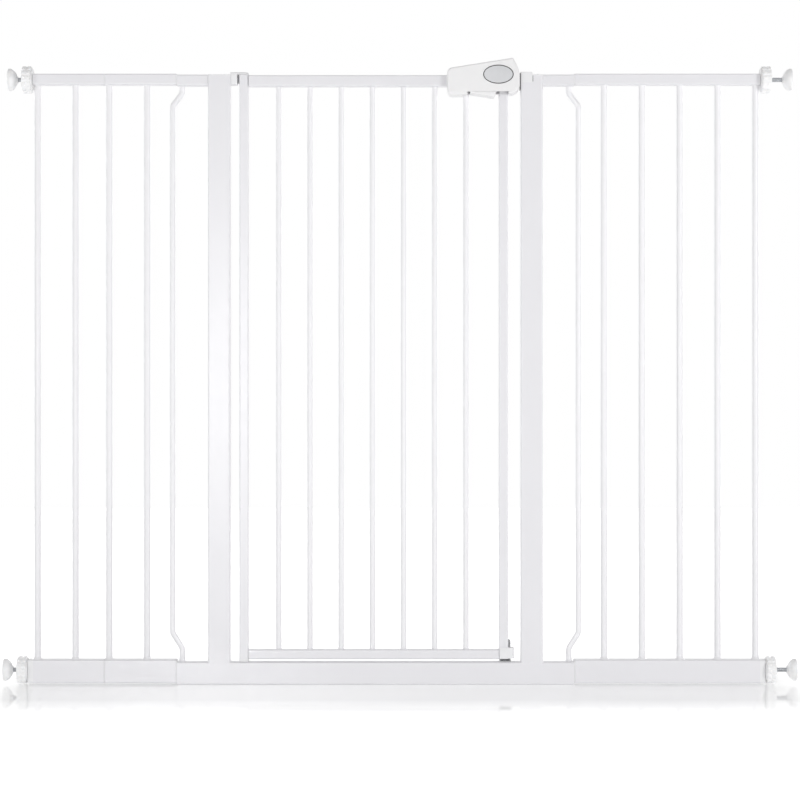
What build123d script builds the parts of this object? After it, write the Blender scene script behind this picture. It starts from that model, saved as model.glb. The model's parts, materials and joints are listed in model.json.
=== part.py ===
from build123d import *
import os
from math import cos, pi, radians, sin

# Extra-tall pressure-fit safety gate: a U-shaped frame, a swinging barred door with a squeeze latch,
# extension panels on both sides and a screw adjuster with a wall cup at each corner.
# Millimetres. X runs along the gate, to the right as it is faced; Y runs away; Z is up.
# The origin lies on the floor, midway between the wall cups.

# Main frame
FRAME_HEIGHT = 1038.0
DOORWAY_WIDTH = 494.0
POST_WIDTH = 38.0
FRAME_DEPTH = 25.0
FRAME_WALL = 1.5
FRAME_CORNER = 3.0
BASE_HEIGHT = 38.0
SIDE_REACH = 53.0
CAP_THICKNESS = 2.0
CAP_PLUG = 20.0

# Slim square tube of the top rails
SLIM_TUBE = 19.0
SLIM_WALL = 1.2
SLIM_CORNER = 2.5
TOP_SETBACK = 1.0

# Bent bars at the sides of the main frame
BENT_BAR_D = 10.0
BENT_BAR_INSET = 8.5
BENT_BAR_JOG = 16.5
BENT_FOOT_STRAIGHT = 23.0
BENT_FOOT_RISE = 26.0
BENT_HEAD_STRAIGHT = 12.0
BENT_HEAD_RISE = 22.0
BENT_RADIUS = 11.0
BAR_WALL = 1.0

# Extension panels, listed from the main frame outwards by their count of bars
LEFT_BAR_COUNTS = (2, 2)
RIGHT_BAR_COUNTS = (5,)
EXT_BAR_D = 11.5
EXT_BAR_PITCH = 64.6
EXT_BAR_INSET = 50.0
EXT_END_MARGIN = 6.0
EXT_BASE_HEIGHT = 40.0
EXT_FLOOR_GAP = 2.0
EXT_TOP_LIFT = 1.5
EXT_CORNER = 3.0
FOOT_FLARE_D = 17.0
FOOT_FLARE_HEIGHT = 4.0
HEAD_FLARE_D = 13.0
HEAD_FLARE_HEIGHT = 1.2
COUPLER_FLANGE = 1.5
COUPLER_SPIGOT = 25.0
COUPLER_INSET = 0.4
COUPLER_EDGE = 0.5

# Screw adjusters
SPINDLE_D = 8.0
SPINDLE_LENGTH = 114.0
SPINDLE_CHAMFER = 1.0
BASE_AXIS_RISE = 2.0
WHEEL_D = 46.0
WHEEL_RIM = 15.5
WHEEL_HUB_D = 38.0
WHEEL_HUB = 2.0
WHEEL_EDGE = 2.0
WHEEL_LOBES = 14
SCALLOP_D = 9.0
SCALLOP_DEPTH = 1.2
WHEEL_GROOVE_D = 6.0
WHEEL_GROOVE_DEPTH = 0.9
TOP_BUSH_FLANGE = 1.5
BASE_BUSH_FLANGE = 9.5
BUSH_PLUG = 30.0
BUSH_EDGE = 0.8
CUP_D = 38.0
CUP_LENGTH = 16.5
CUP_RIM = 4.0
CUP_NECK_D = 12.0
CUP_NECK_LENGTH = 1.5
CUP_SOCKET = 8.0
CUP_EDGE = 1.2
LEFT_BARE_SPINDLE = 8.0
RIGHT_BARE_SPINDLE = 19.8

# Door
STILE = 16.0
STILE_WALL = 1.2
STILE_CORNER = 2.5
HINGE_GAP = 15.0
LATCH_SIDE_GAP = 21.0
DOOR_FLOOR_GAP = 5.0
DOOR_BAR_D = 10.0
DOOR_BAR_COUNT = 7
FIRST_DOOR_BAR = 59.0
LAST_DOOR_BAR = 63.8

# Hinge
HINGE_PIN_D = 8.0
HINGE_PIN_REACH = 25.0
HINGE_BUSH_PLUG = 28.0
HINGE_BUSH_FLANGE = 1.0
BRACKET_LEG = 11.5
BRACKET_DEPTH = 17.0
BRACKET_TAB = 4.0
BRACKET_DROP = 21.8
BRACKET_EDGE = 1.0
BRACKET_TAB_EDGE = 3.4
BRACKET_FOOT_R = 4.0
BRACKET_WEB = 2.0
BRACKET_WEB_GAP = 0.5
BRACKET_SCREW_D = 4.0
BRACKET_SCREW_HEAD_D = 7.6
BRACKET_SCREW_HEAD = 2.2
BRACKET_SCREW_REACH = 7.0
BRACKET_SCREW_DROPS = (9.0, 17.0)

# Closing stop behind the latch corner of the door
STOP_WIDTH = 19.0
STOP_HEIGHT = 37.0
STOP_THICKNESS = 2.0
STOP_FOOT = 18.0
STOP_CORNER = 4.0
RIVET_D = 4.0
RIVET_HEAD_D = 7.0
RIVET_HEAD = 1.2
RIVET_SPACING = 10.0

# Foot cap on the latch corner of the door
FOOT_CAP_HEIGHT = 18.0
FOOT_CAP_LIFT = 1.0
FOOT_CAP_WALL = 1.5
FOOT_CAP_NOSE = 10.0
FOOT_CAP_SETBACK = 1.8
FOOT_CAP_ROUND = 5.0

# Striker on the latch post
STRIKER_WIDTH = 20.3
STRIKER_SEAM = 0.9
STRIKER_RISE = 4.0
STRIKER_DROP = 14.0
STRIKER_SCREW_D = 4.0
STRIKER_SCREW_HEAD_D = 7.4
STRIKER_SCREW_HEAD = 1.8
STRIKER_SCREW_LENGTH = 12.0
BUFFER_THICKNESS = 0.9
BUFFER_HEIGHT = 28.0

# Latch housing
LATCH_LENGTH = 123.7
LATCH_GAP = 1.8
LATCH_DEPTH = 42.0
LATCH_WALL = 2.4
LATCH_DROP = 16.0
LATCH_LOW_RISE = 10.2
LATCH_HIGH_RISE = 28.0
LATCH_APEX_SETBACK = 11.4
LATCH_KNEE_RISE = 6.0
LATCH_HEEL_LIFT = 3.5
LATCH_TOE_R = 12.0
LATCH_HEEL_R = 14.0
LATCH_KNEE_R = 40.0
LATCH_APEX_R = 3.0
LATCH_SHOULDER_R = 10.0
LATCH_EDGE = 3.0
LIP_HEIGHT = 5.8
LIP_SETBACK = 4.6
LIP_STEP = 1.2
LATCH_SCREW_D = 3.4
LATCH_SCREW_HEAD_D = 6.6
LATCH_SCREW_HEAD = 2.2
LATCH_SCREW_GRIP = 12.0
LATCH_SCREW_SINK = 1.2
LATCH_BOSS_D = 8.0

# Bare oval badge plate
BADGE_WIDTH = 51.6
BADGE_HEIGHT = 32.2
BADGE_THICKNESS = 1.0
BADGE_SINK = 0.5
BADGE_EDGE = 0.3
BADGE_SETBACK = 36.5
BADGE_TOP_DROP = 0.3

# Squeeze trigger, bolt and return spring
TRIGGER_WIDTH = 34.0
TRIGGER_WALL = 3.0
TRIGGER_TURN = 12.0
TRIGGER_PIN_D = 5.0
TRIGGER_PIN_SEAT = 1.2
TRIGGER_BOSS_D = 8.4
TRIGGER_ARM = 9.0
TRIGGER_LENGTH = 45.5
TRIGGER_TIP_SLOPE = 3.8
TRIGGER_LEFT_LIFT = 3.7
TRIGGER_TIP_DROP = 2.8
TRIGGER_EDGE = 2.0
PIVOT_FROM_BAR = 9.8
PIVOT_DROP = 5.2
NOTCH_FROM_BAR = 2.0
NOTCH_CLEARANCE = 0.3
CROSS_PIN_D = 4.0
BOLT_WIDTH = 10.0
BOLT_HEIGHT = 7.7
BOLT_TAIL = 6.5
BOLT_LEG = 3.6
BOLT_ENGAGE = 5.2
BOLT_CLEARANCE = 0.5
BOLT_BEVEL = 4.0
NOSE_HEIGHT = 10.5
NOSE_RISE = 1.0
SPRING_D = 6.0
SPRING_WIRE_D = 0.8
SPRING_LENGTH = 18.5
SPRING_TURNS = 7
STOP_BLADE = 2.5
BLADE_FROM_PIVOT = 17.0

# Fits
FIT = 0.1
RUNNING = 0.08
MOVING_GAP = 0.3
SMALLEST_CORNER = 0.3
CUT_MARGIN = 5.0

os.makedirs("parts", exist_ok=True)


def save(builder, node):
    """Label a finished piece and write it under its node name."""
    builder.part.label = node
    export_step(builder.part, f"parts/{node}.step")


def inner_corner(corner, wall):
    """Corner radius of a tube's bore."""
    return max(corner - wall, SMALLEST_CORNER)


def panel_rail_length(bar_count):
    """Length of an extension rail that carries this many bars."""
    return EXT_BAR_INSET + (bar_count - 1) * EXT_BAR_PITCH + EXT_END_MARGIN


def side_length(bar_counts):
    """Distance from the end of the base rail to the outer end of the last extension rail."""
    return sum(COUPLER_FLANGE + panel_rail_length(bars) for bars in bar_counts)


# Places that follow from the sizes
POST_X = (DOORWAY_WIDTH + POST_WIDTH) / 2
SIDE_X = DOORWAY_WIDTH / 2 + POST_WIDTH + SIDE_REACH
WHEEL_LENGTH = WHEEL_HUB + WHEEL_RIM
LONGER_FLANGE = max(TOP_BUSH_FLANGE, BASE_BUSH_FLANGE)
ADJUSTER_LENGTH = LONGER_FLANGE + MOVING_GAP + WHEEL_LENGTH + CUP_LENGTH
LEFT_END = SIDE_X + side_length(LEFT_BAR_COUNTS)
RIGHT_END = SIDE_X + side_length(RIGHT_BAR_COUNTS)
LEFT_REACH = LEFT_END + ADJUSTER_LENGTH + LEFT_BARE_SPINDLE
RIGHT_REACH = RIGHT_END + ADJUSTER_LENGTH + RIGHT_BARE_SPINDLE
MAIN_X = (LEFT_REACH - RIGHT_REACH) / 2

POST_TOP = FRAME_HEIGHT - CAP_THICKNESS
TOP_RAIL_TOP = FRAME_HEIGHT - TOP_SETBACK
TOP_RAIL_BOTTOM = TOP_RAIL_TOP - SLIM_TUBE
TOP_RAIL_Z = TOP_RAIL_TOP - SLIM_TUBE / 2
EXT_BASE_Z = EXT_FLOOR_GAP + EXT_BASE_HEIGHT / 2
EXT_BASE_TOP = EXT_FLOOR_GAP + EXT_BASE_HEIGHT
STUB_Z = FRAME_HEIGHT - SLIM_TUBE / 2
STUB_BOTTOM = FRAME_HEIGHT - SLIM_TUBE
EXT_TOP_Z = STUB_Z + EXT_TOP_LIFT
BASE_AXIS_Z = EXT_BASE_Z + BASE_AXIS_RISE

HINGE_FACE_X = MAIN_X - DOORWAY_WIDTH / 2
LATCH_FACE_X = MAIN_X + DOORWAY_WIDTH / 2
HINGE_X = HINGE_FACE_X + HINGE_GAP + STILE / 2
LATCH_STILE_X = LATCH_FACE_X - LATCH_SIDE_GAP - STILE / 2
DOOR_BOTTOM = BASE_HEIGHT + DOOR_FLOOR_GAP
DOOR_RAIL_LEFT = HINGE_X + STILE / 2
DOOR_RAIL_RIGHT = LATCH_STILE_X - STILE / 2
DOOR_BAR_RUN = LATCH_STILE_X - LAST_DOOR_BAR - HINGE_X - FIRST_DOOR_BAR
DOOR_BAR_PITCH = DOOR_BAR_RUN / (DOOR_BAR_COUNT - 1)
DOOR_BAR_X = [HINGE_X + FIRST_DOOR_BAR + i * DOOR_BAR_PITCH for i in range(DOOR_BAR_COUNT)]
LAST_BAR_X = DOOR_BAR_X[-1]

FRAME_TUBE = (FRAME_DEPTH, BASE_HEIGHT, FRAME_WALL, FRAME_CORNER)
SLIM_SQUARE = (SLIM_TUBE, SLIM_TUBE, SLIM_WALL, SLIM_CORNER)
STILE_SQUARE = (STILE, STILE, STILE_WALL, STILE_CORNER)
EXT_TUBE = (FRAME_DEPTH, EXT_BASE_HEIGHT, FRAME_WALL, EXT_CORNER)


def tube_along_x(x_start, x_end, z, tube):
    """Rounded rectangular tube along the gate, centred at height z."""
    depth, height, wall, corner = tube
    with BuildPart() as piece:
        with BuildSketch(Plane.YZ.offset(x_start)):
            with Locations((0, z)):
                RectangleRounded(depth, height, corner)
                RectangleRounded(
                    depth - 2 * wall, height - 2 * wall, inner_corner(corner, wall), mode=Mode.SUBTRACT
                )
        extrude(amount=x_end - x_start)
    return piece


def plug_section(tube, z):
    """Section of a plug that slides into a tube along the gate; goes inside a sketch."""
    depth, height, wall, corner = tube
    shrink = 2 * (wall + FIT)
    with Locations((0, z)):
        RectangleRounded(depth - shrink, height - shrink, inner_corner(corner, wall + FIT))


# Base rail of the main frame
base_rail = tube_along_x(MAIN_X - SIDE_X, MAIN_X + SIDE_X, BASE_HEIGHT / 2, FRAME_TUBE)
save(base_rail, "base_rail")

# Posts, coped at the foot to the rounded top edges of the base rail
COPE_DEPTH = 0.7 * FRAME_CORNER
STRIKER_BOTTOM = FRAME_HEIGHT - STRIKER_DROP
STRIKER_TOP = FRAME_HEIGHT + STRIKER_RISE
BUSH_TOP = TOP_RAIL_TOP + HINGE_BUSH_FLANGE
BRACKET_TAB_BOTTOM = BUSH_TOP + MOVING_GAP
BRACKET_TOP = BRACKET_TAB_BOTTOM + BRACKET_TAB
BRACKET_SCREW_Z = [BRACKET_TOP - drop for drop in BRACKET_SCREW_DROPS]


def post(x):
    """Square-cut post tube standing on the base rail."""
    foot = BASE_HEIGHT - COPE_DEPTH
    with BuildPart() as piece:
        with BuildSketch(Plane.XY.offset(foot)):
            with Locations((x, 0)):
                RectangleRounded(POST_WIDTH, FRAME_DEPTH, FRAME_CORNER)
                RectangleRounded(
                    POST_WIDTH - 2 * FRAME_WALL,
                    FRAME_DEPTH - 2 * FRAME_WALL,
                    inner_corner(FRAME_CORNER, FRAME_WALL),
                    mode=Mode.SUBTRACT,
                )
        extrude(amount=POST_TOP - foot)
        with BuildSketch(Plane.YZ.offset(x - POST_WIDTH)):
            with Locations((0, BASE_HEIGHT / 2)):
                RectangleRounded(FRAME_DEPTH, BASE_HEIGHT, FRAME_CORNER)
        extrude(amount=2 * POST_WIDTH, mode=Mode.SUBTRACT)
    return piece


with BuildPart() as hinge_post:
    add(post(MAIN_X - POST_X).part)
    with BuildSketch(Plane.YZ.offset(HINGE_FACE_X)):
        with Locations(*[(0, z) for z in BRACKET_SCREW_Z]):
            Circle(BRACKET_SCREW_D / 2)
    extrude(amount=-2 * FRAME_WALL, mode=Mode.SUBTRACT)
save(hinge_post, "hinge_post")

with BuildPart() as latch_post:
    add(post(MAIN_X + POST_X).part)
    with Locations((LATCH_FACE_X - CUT_MARGIN, 0, STRIKER_BOTTOM)):
        Box(
            STRIKER_WIDTH + STRIKER_SEAM + CUT_MARGIN,
            FRAME_DEPTH + CUT_MARGIN,
            STRIKER_DROP,
            align=(Align.MIN, Align.CENTER, Align.MIN),
            mode=Mode.SUBTRACT,
        )
save(latch_post, "latch_post")

with BuildPart() as hinge_post_cap:
    with BuildSketch(Plane.XY.offset(POST_TOP)):
        with Locations((MAIN_X - POST_X, 0)):
            RectangleRounded(POST_WIDTH, FRAME_DEPTH, FRAME_CORNER)
    extrude(amount=CAP_THICKNESS)
    with BuildSketch(Plane.XY.offset(POST_TOP)):
        with Locations((MAIN_X - POST_X, 0)):
            RectangleRounded(
                POST_WIDTH - 2 * (FRAME_WALL + FIT),
                FRAME_DEPTH - 2 * (FRAME_WALL + FIT),
                inner_corner(FRAME_CORNER, FRAME_WALL + FIT),
            )
    extrude(amount=-CAP_PLUG)
    with BuildSketch(Plane.YZ.offset(HINGE_FACE_X)):
        with Locations(*[(0, z) for z in BRACKET_SCREW_Z]):
            Circle(BRACKET_SCREW_D / 2)
    extrude(amount=-BRACKET_SCREW_REACH, mode=Mode.SUBTRACT)
save(hinge_post_cap, "hinge_post_cap")

# Top stubs that carry the extension panels
left_top_stub = tube_along_x(MAIN_X - SIDE_X, MAIN_X - SIDE_X + SIDE_REACH, STUB_Z, SLIM_SQUARE)
save(left_top_stub, "left_top_stub")
right_top_stub = tube_along_x(MAIN_X + SIDE_X - SIDE_REACH, MAIN_X + SIDE_X, STUB_Z, SLIM_SQUARE)
save(right_top_stub, "right_top_stub")


def bent_bar(side):
    """Side bar that jogs outwards above the base rail and back under the top stub."""
    foot_x = MAIN_X + side * (SIDE_X - BENT_BAR_INSET)
    run_x = foot_x + side * BENT_BAR_JOG
    foot_bend = BASE_HEIGHT + BENT_FOOT_STRAIGHT
    head_bend = STUB_BOTTOM - BENT_HEAD_STRAIGHT
    with BuildPart() as piece:
        with BuildLine(Plane.XZ) as path:
            FilletPolyline(
                (foot_x, BASE_HEIGHT),
                (foot_x, foot_bend),
                (run_x, foot_bend + BENT_FOOT_RISE),
                (run_x, head_bend - BENT_HEAD_RISE),
                (foot_x, head_bend),
                (foot_x, STUB_BOTTOM),
                radius=BENT_RADIUS,
            )
        with BuildSketch(Plane.XY.offset(BASE_HEIGHT)):
            with Locations((foot_x, 0)):
                Circle(BENT_BAR_D / 2)
                Circle(BENT_BAR_D / 2 - BAR_WALL, mode=Mode.SUBTRACT)
        sweep(path=path.line)
    return piece


save(bent_bar(-1), "left_bent_bar")
save(bent_bar(1), "right_bent_bar")


def panel_bars(bar_places):
    """Extension bars with a flared weld foot on the bottom rail and a small weld under the top rail."""
    radius = EXT_BAR_D / 2
    bore = radius - BAR_WALL
    bottom = EXT_BASE_TOP
    top = EXT_TOP_Z - SLIM_TUBE / 2
    with BuildPart() as piece:
        for x in bar_places:
            with BuildSketch(Plane(origin=(x, 0, 0), x_dir=(1, 0, 0), z_dir=(0, -1, 0))):
                Polygon(
                    (bore, bottom),
                    (FOOT_FLARE_D / 2, bottom),
                    (radius, bottom + FOOT_FLARE_HEIGHT),
                    (radius, top - HEAD_FLARE_HEIGHT),
                    (HEAD_FLARE_D / 2, top),
                    (bore, top),
                    align=None,
                )
            revolve(axis=Axis((x, 0, 0), (0, 0, 1)))
    return piece


def coupler(x, side, inner_tube, inner_z, outer_tube, outer_z):
    """Plastic joint piece at x: a spigot into the inner tube, a flange, a spigot into the outer one."""
    depth, height, _, corner = outer_tube
    flange_end = x + side * COUPLER_FLANGE
    with BuildPart() as piece:
        with BuildSketch(Plane.YZ.offset(x)):
            with Locations((0, outer_z)):
                RectangleRounded(depth - 2 * COUPLER_INSET, height - 2 * COUPLER_INSET, corner)
        extrude(amount=side * COUPLER_FLANGE)
        fillet(piece.faces().filter_by(Axis.X).edges(), radius=COUPLER_EDGE)
        with BuildSketch(Plane.YZ.offset(x)):
            plug_section(inner_tube, inner_z)
        extrude(amount=-side * COUPLER_SPIGOT)
        with BuildSketch(Plane.YZ.offset(flange_end)):
            plug_section(outer_tube, outer_z)
        extrude(amount=side * COUPLER_SPIGOT)
    return piece


# Extension panels and the couplers between them
top_couplers = []
bottom_couplers = []
for side, bar_counts, names in (
    (-1, LEFT_BAR_COUNTS, ("left_inner", "left_outer")),
    (1, RIGHT_BAR_COUNTS, ("right",)),
):
    joint_x = MAIN_X + side * SIDE_X
    inner_base = (FRAME_TUBE, BASE_HEIGHT / 2)
    inner_top = (SLIM_SQUARE, STUB_Z)
    for bar_count, name in zip(bar_counts, names):
        bottom_couplers.append(coupler(joint_x, side, *inner_base, EXT_TUBE, EXT_BASE_Z).part)
        top_couplers.append(coupler(joint_x, side, *inner_top, SLIM_SQUARE, EXT_TOP_Z).part)
        start = joint_x + side * COUPLER_FLANGE
        end = start + side * panel_rail_length(bar_count)
        save(tube_along_x(start, end, EXT_BASE_Z, EXT_TUBE), f"{name}_bottom_rail")
        save(tube_along_x(start, end, EXT_TOP_Z, SLIM_SQUARE), f"{name}_top_rail")
        bar_places = [start + side * (EXT_BAR_INSET + i * EXT_BAR_PITCH) for i in range(bar_count)]
        save(panel_bars(bar_places), f"{name}_bars")
        joint_x = end
        inner_base = (EXT_TUBE, EXT_BASE_Z)
        inner_top = (SLIM_SQUARE, EXT_TOP_Z)

with BuildPart() as top_coupler_set:
    add(top_couplers)
save(top_coupler_set, "top_couplers")

with BuildPart() as bottom_coupler_set:
    add(bottom_couplers)
save(bottom_coupler_set, "bottom_couplers")


def end_bush(x, side, flange, tube, tube_z, axis_z):
    """Flanged plug in the outer end of an extension rail, bored for the spindle."""
    depth, height, _, corner = tube
    with BuildPart() as piece:
        with BuildSketch(Plane.YZ.offset(x)):
            with Locations((0, tube_z)):
                RectangleRounded(depth, height, corner)
        extrude(amount=side * flange)
        outer_face = piece.faces().filter_by(Axis.X).sort_by(Axis.X)[-1 if side > 0 else 0]
        fillet(outer_face.edges(), radius=BUSH_EDGE)
        with BuildSketch(Plane.YZ.offset(x)):
            plug_section(tube, tube_z)
        extrude(amount=-side * BUSH_PLUG)
        with BuildSketch(Plane.YZ.offset(x - side * BUSH_PLUG)):
            with Locations((0, axis_z)):
                Circle(SPINDLE_D / 2 + RUNNING)
        extrude(amount=side * (BUSH_PLUG + flange), mode=Mode.SUBTRACT)
    return piece


def wheel(x, side, z):
    """Lobed adjusting wheel, a nut on the spindle, with a hub that bears on the end bush."""
    rim_start = x + side * WHEEL_HUB
    rim_middle = rim_start + side * WHEEL_RIM / 2
    groove_ring = WHEEL_D / 2 - WHEEL_GROOVE_DEPTH + WHEEL_GROOVE_D / 2
    scallop_ring = WHEEL_D / 2 - SCALLOP_DEPTH + SCALLOP_D / 2
    with BuildPart() as piece:
        with BuildSketch(Plane.YZ.offset(rim_start)):
            with Locations((0, z)):
                Circle(WHEEL_D / 2)
        extrude(amount=side * WHEEL_RIM)
        fillet(piece.edges().filter_by(GeomType.CIRCLE), radius=WHEEL_EDGE)
        with BuildSketch(Plane(origin=(rim_middle, 0, z), x_dir=(1, 0, 0), z_dir=(0, -1, 0))):
            with Locations((0, groove_ring)):
                Circle(WHEEL_GROOVE_D / 2)
        revolve(axis=Axis((x, 0, z), (1, 0, 0)), mode=Mode.SUBTRACT)
        with BuildSketch(Plane.YZ.offset(rim_start)):
            with Locations((0, z)):
                with PolarLocations(scallop_ring, WHEEL_LOBES, start_angle=180 / WHEEL_LOBES):
                    Circle(SCALLOP_D / 2)
        extrude(amount=side * WHEEL_RIM, mode=Mode.SUBTRACT)
        with BuildSketch(Plane.YZ.offset(x)):
            with Locations((0, z)):
                Circle(WHEEL_HUB_D / 2)
        extrude(amount=side * WHEEL_HUB)
        with BuildSketch(Plane.YZ.offset(x)):
            with Locations((0, z)):
                Circle(SPINDLE_D / 2 + RUNNING)
        extrude(amount=side * WHEEL_LENGTH, mode=Mode.SUBTRACT)
    return piece


def spindle(x_outer, side, z):
    """Threaded rod, left plain here, that reaches from the wall cup into the rail."""
    with BuildPart() as piece:
        with BuildSketch(Plane.YZ.offset(x_outer)):
            with Locations((0, z)):
                Circle(SPINDLE_D / 2)
        extrude(amount=-side * SPINDLE_LENGTH)
        chamfer(piece.edges().filter_by(GeomType.CIRCLE), length=SPINDLE_CHAMFER)
    return piece


def wall_cup(x, side, z):
    """Domed wall pad with a socket for the spindle; x is its neck end."""
    with BuildPart() as piece:
        with BuildSketch(Plane(origin=(x, 0, z), x_dir=(side, 0, 0), z_dir=(0, -side, 0))):
            with BuildLine():
                neck = Polyline((0, 0), (0, CUP_NECK_D / 2), (CUP_NECK_LENGTH, CUP_NECK_D / 2))
                dome = RadiusArc(neck @ 1, (CUP_LENGTH - CUP_RIM, CUP_D / 2), -CUP_D / 2)
                Polyline(dome @ 1, (CUP_LENGTH, CUP_D / 2), (CUP_LENGTH, 0), (0, 0))
            make_face()
        revolve(axis=Axis((x, 0, z), (1, 0, 0)))
        rim_edges = piece.edges().filter_by(GeomType.CIRCLE).group_by(SortBy.RADIUS)[-1]
        fillet(rim_edges.sort_by(Axis.X)[-1 if side > 0 else 0], radius=CUP_EDGE)
        with BuildSketch(Plane.YZ.offset(x)):
            with Locations((0, z)):
                Circle(SPINDLE_D / 2)
        extrude(amount=side * CUP_SOCKET, mode=Mode.SUBTRACT)
    return piece


# Adjusters at the four corners
end_bushes = {"top": [], "bottom": []}
for side, side_name, rail_end, bare in (
    (-1, "left", LEFT_END, LEFT_BARE_SPINDLE),
    (1, "right", RIGHT_END, RIGHT_BARE_SPINDLE),
):
    for level, flange, tube, tube_z, axis_z in (
        ("top", TOP_BUSH_FLANGE, SLIM_SQUARE, EXT_TOP_Z, EXT_TOP_Z),
        ("bottom", BASE_BUSH_FLANGE, EXT_TUBE, EXT_BASE_Z, BASE_AXIS_Z),
    ):
        rail_x = MAIN_X + side * rail_end
        wheel_x = rail_x + side * (flange + MOVING_GAP)
        cup_x = wheel_x + side * (WHEEL_LENGTH + bare)
        end_bushes[level].append(end_bush(rail_x, side, flange, tube, tube_z, axis_z).part)
        corner_name = f"{side_name}_{level}"
        save(wheel(wheel_x, side, axis_z), f"{corner_name}_wheel")
        save(spindle(cup_x + side * CUP_SOCKET, side, axis_z), f"{corner_name}_spindle")
        save(wall_cup(cup_x, side, axis_z), f"{corner_name}_cup")

with BuildPart() as top_end_bushes:
    add(end_bushes["top"])
save(top_end_bushes, "top_end_bushes")

with BuildPart() as bottom_end_bushes:
    add(end_bushes["bottom"])
save(bottom_end_bushes, "bottom_end_bushes")


def stile(x):
    """Upright square tube of the door."""
    with BuildPart() as piece:
        with BuildSketch(Plane.XY.offset(DOOR_BOTTOM)):
            with Locations((x, 0)):
                RectangleRounded(STILE, STILE, STILE_CORNER)
                RectangleRounded(
                    STILE - 2 * STILE_WALL,
                    STILE - 2 * STILE_WALL,
                    inner_corner(STILE_CORNER, STILE_WALL),
                    mode=Mode.SUBTRACT,
                )
        extrude(amount=TOP_RAIL_TOP - DOOR_BOTTOM)
    return piece


# Door frame
save(stile(HINGE_X), "hinge_stile")
save(stile(LATCH_STILE_X), "latch_stile")
door_top_rail = tube_along_x(DOOR_RAIL_LEFT, DOOR_RAIL_RIGHT, TOP_RAIL_Z, SLIM_SQUARE)
save(door_top_rail, "door_top_rail")
door_bottom_rail = tube_along_x(
    DOOR_RAIL_LEFT, DOOR_RAIL_RIGHT, DOOR_BOTTOM + STILE / 2, STILE_SQUARE
)
save(door_bottom_rail, "door_bottom_rail")

with BuildPart() as door_bars:
    with BuildSketch(Plane.XY.offset(DOOR_BOTTOM + STILE)):
        with Locations(*[(x, 0) for x in DOOR_BAR_X]):
            Circle(DOOR_BAR_D / 2)
            Circle(DOOR_BAR_D / 2 - BAR_WALL, mode=Mode.SUBTRACT)
    extrude(amount=TOP_RAIL_BOTTOM - DOOR_BOTTOM - STILE)
save(door_bars, "door_bars")


def hinge_bush(stile_end, upwards, flange):
    """Plastic bush in an end of the hinge stile; the flange takes up the space to the frame."""
    shrink = 2 * (STILE_WALL + FIT)
    with BuildPart() as piece:
        with BuildSketch(Plane.XY.offset(stile_end)):
            with Locations((HINGE_X, 0)):
                RectangleRounded(STILE, STILE, STILE_CORNER)
        extrude(amount=upwards * flange)
        with BuildSketch(Plane.XY.offset(stile_end)):
            with Locations((HINGE_X, 0)):
                RectangleRounded(
                    STILE - shrink, STILE - shrink, inner_corner(STILE_CORNER, STILE_WALL + FIT)
                )
        extrude(amount=-upwards * HINGE_BUSH_PLUG)
        with BuildSketch(Plane.XY.offset(stile_end + upwards * flange)):
            with Locations((HINGE_X, 0)):
                Circle(HINGE_PIN_D / 2 + RUNNING)
        extrude(amount=-upwards * (flange + HINGE_BUSH_PLUG), mode=Mode.SUBTRACT)
    return piece


# Hinge: bushes in the door, a bracket on the hinge post and two pins
save(hinge_bush(TOP_RAIL_TOP, 1, HINGE_BUSH_FLANGE), "top_hinge_bush")
save(hinge_bush(DOOR_BOTTOM, -1, DOOR_FLOOR_GAP - MOVING_GAP), "bottom_hinge_bush")

with BuildPart() as top_hinge_bracket:
    with Locations((HINGE_FACE_X, 0, BRACKET_TOP - BRACKET_DROP)):
        Box(BRACKET_LEG, BRACKET_DEPTH, BRACKET_DROP, align=(Align.MIN, Align.CENTER, Align.MIN))
    with BuildSketch(Plane.XY.offset(BRACKET_TAB_BOTTOM)):
        with Locations((HINGE_FACE_X, 0)):
            Rectangle(HINGE_X - HINGE_FACE_X, BRACKET_DEPTH, align=(Align.MIN, Align.CENTER))
        with Locations((HINGE_X, 0)):
            Circle(BRACKET_DEPTH / 2)
    extrude(amount=BRACKET_TAB)
    rim = top_hinge_bracket.faces().sort_by(Axis.Z)[-1].edges().sort_by(Axis.X)[1:]
    fillet(rim, radius=BRACKET_TAB_EDGE)
    foot_edges = top_hinge_bracket.faces().sort_by(Axis.Z)[0].edges().filter_by(Axis.X)
    fillet(foot_edges, radius=BRACKET_FOOT_R)
    # Web behind the gap between the leg and the hinge stile
    web_bottom = BRACKET_TOP - BRACKET_DROP + BRACKET_FOOT_R
    with Locations((HINGE_FACE_X + BRACKET_LEG, BRACKET_DEPTH / 2, web_bottom)):
        Box(
            HINGE_GAP - BRACKET_LEG - BRACKET_WEB_GAP,
            BRACKET_WEB,
            BRACKET_TAB_BOTTOM - web_bottom,
            align=(Align.MIN, Align.MAX, Align.MIN),
        )
    with BuildSketch(Plane.XY.offset(BRACKET_TAB_BOTTOM)):
        with Locations((HINGE_X, 0)):
            Circle(HINGE_PIN_D / 2)
    extrude(amount=BRACKET_TAB, mode=Mode.SUBTRACT)
    with BuildSketch(Plane.YZ.offset(HINGE_FACE_X)):
        with Locations(*[(0, z) for z in BRACKET_SCREW_Z]):
            Circle(BRACKET_SCREW_D / 2)
    extrude(amount=BRACKET_LEG, mode=Mode.SUBTRACT)
    with BuildSketch(Plane.YZ.offset(HINGE_FACE_X + BRACKET_LEG)):
        with Locations(*[(0, z) for z in BRACKET_SCREW_Z]):
            Circle(BRACKET_SCREW_HEAD_D / 2)
    extrude(amount=-BRACKET_SCREW_HEAD, mode=Mode.SUBTRACT)
save(top_hinge_bracket, "top_hinge_bracket")

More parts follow.
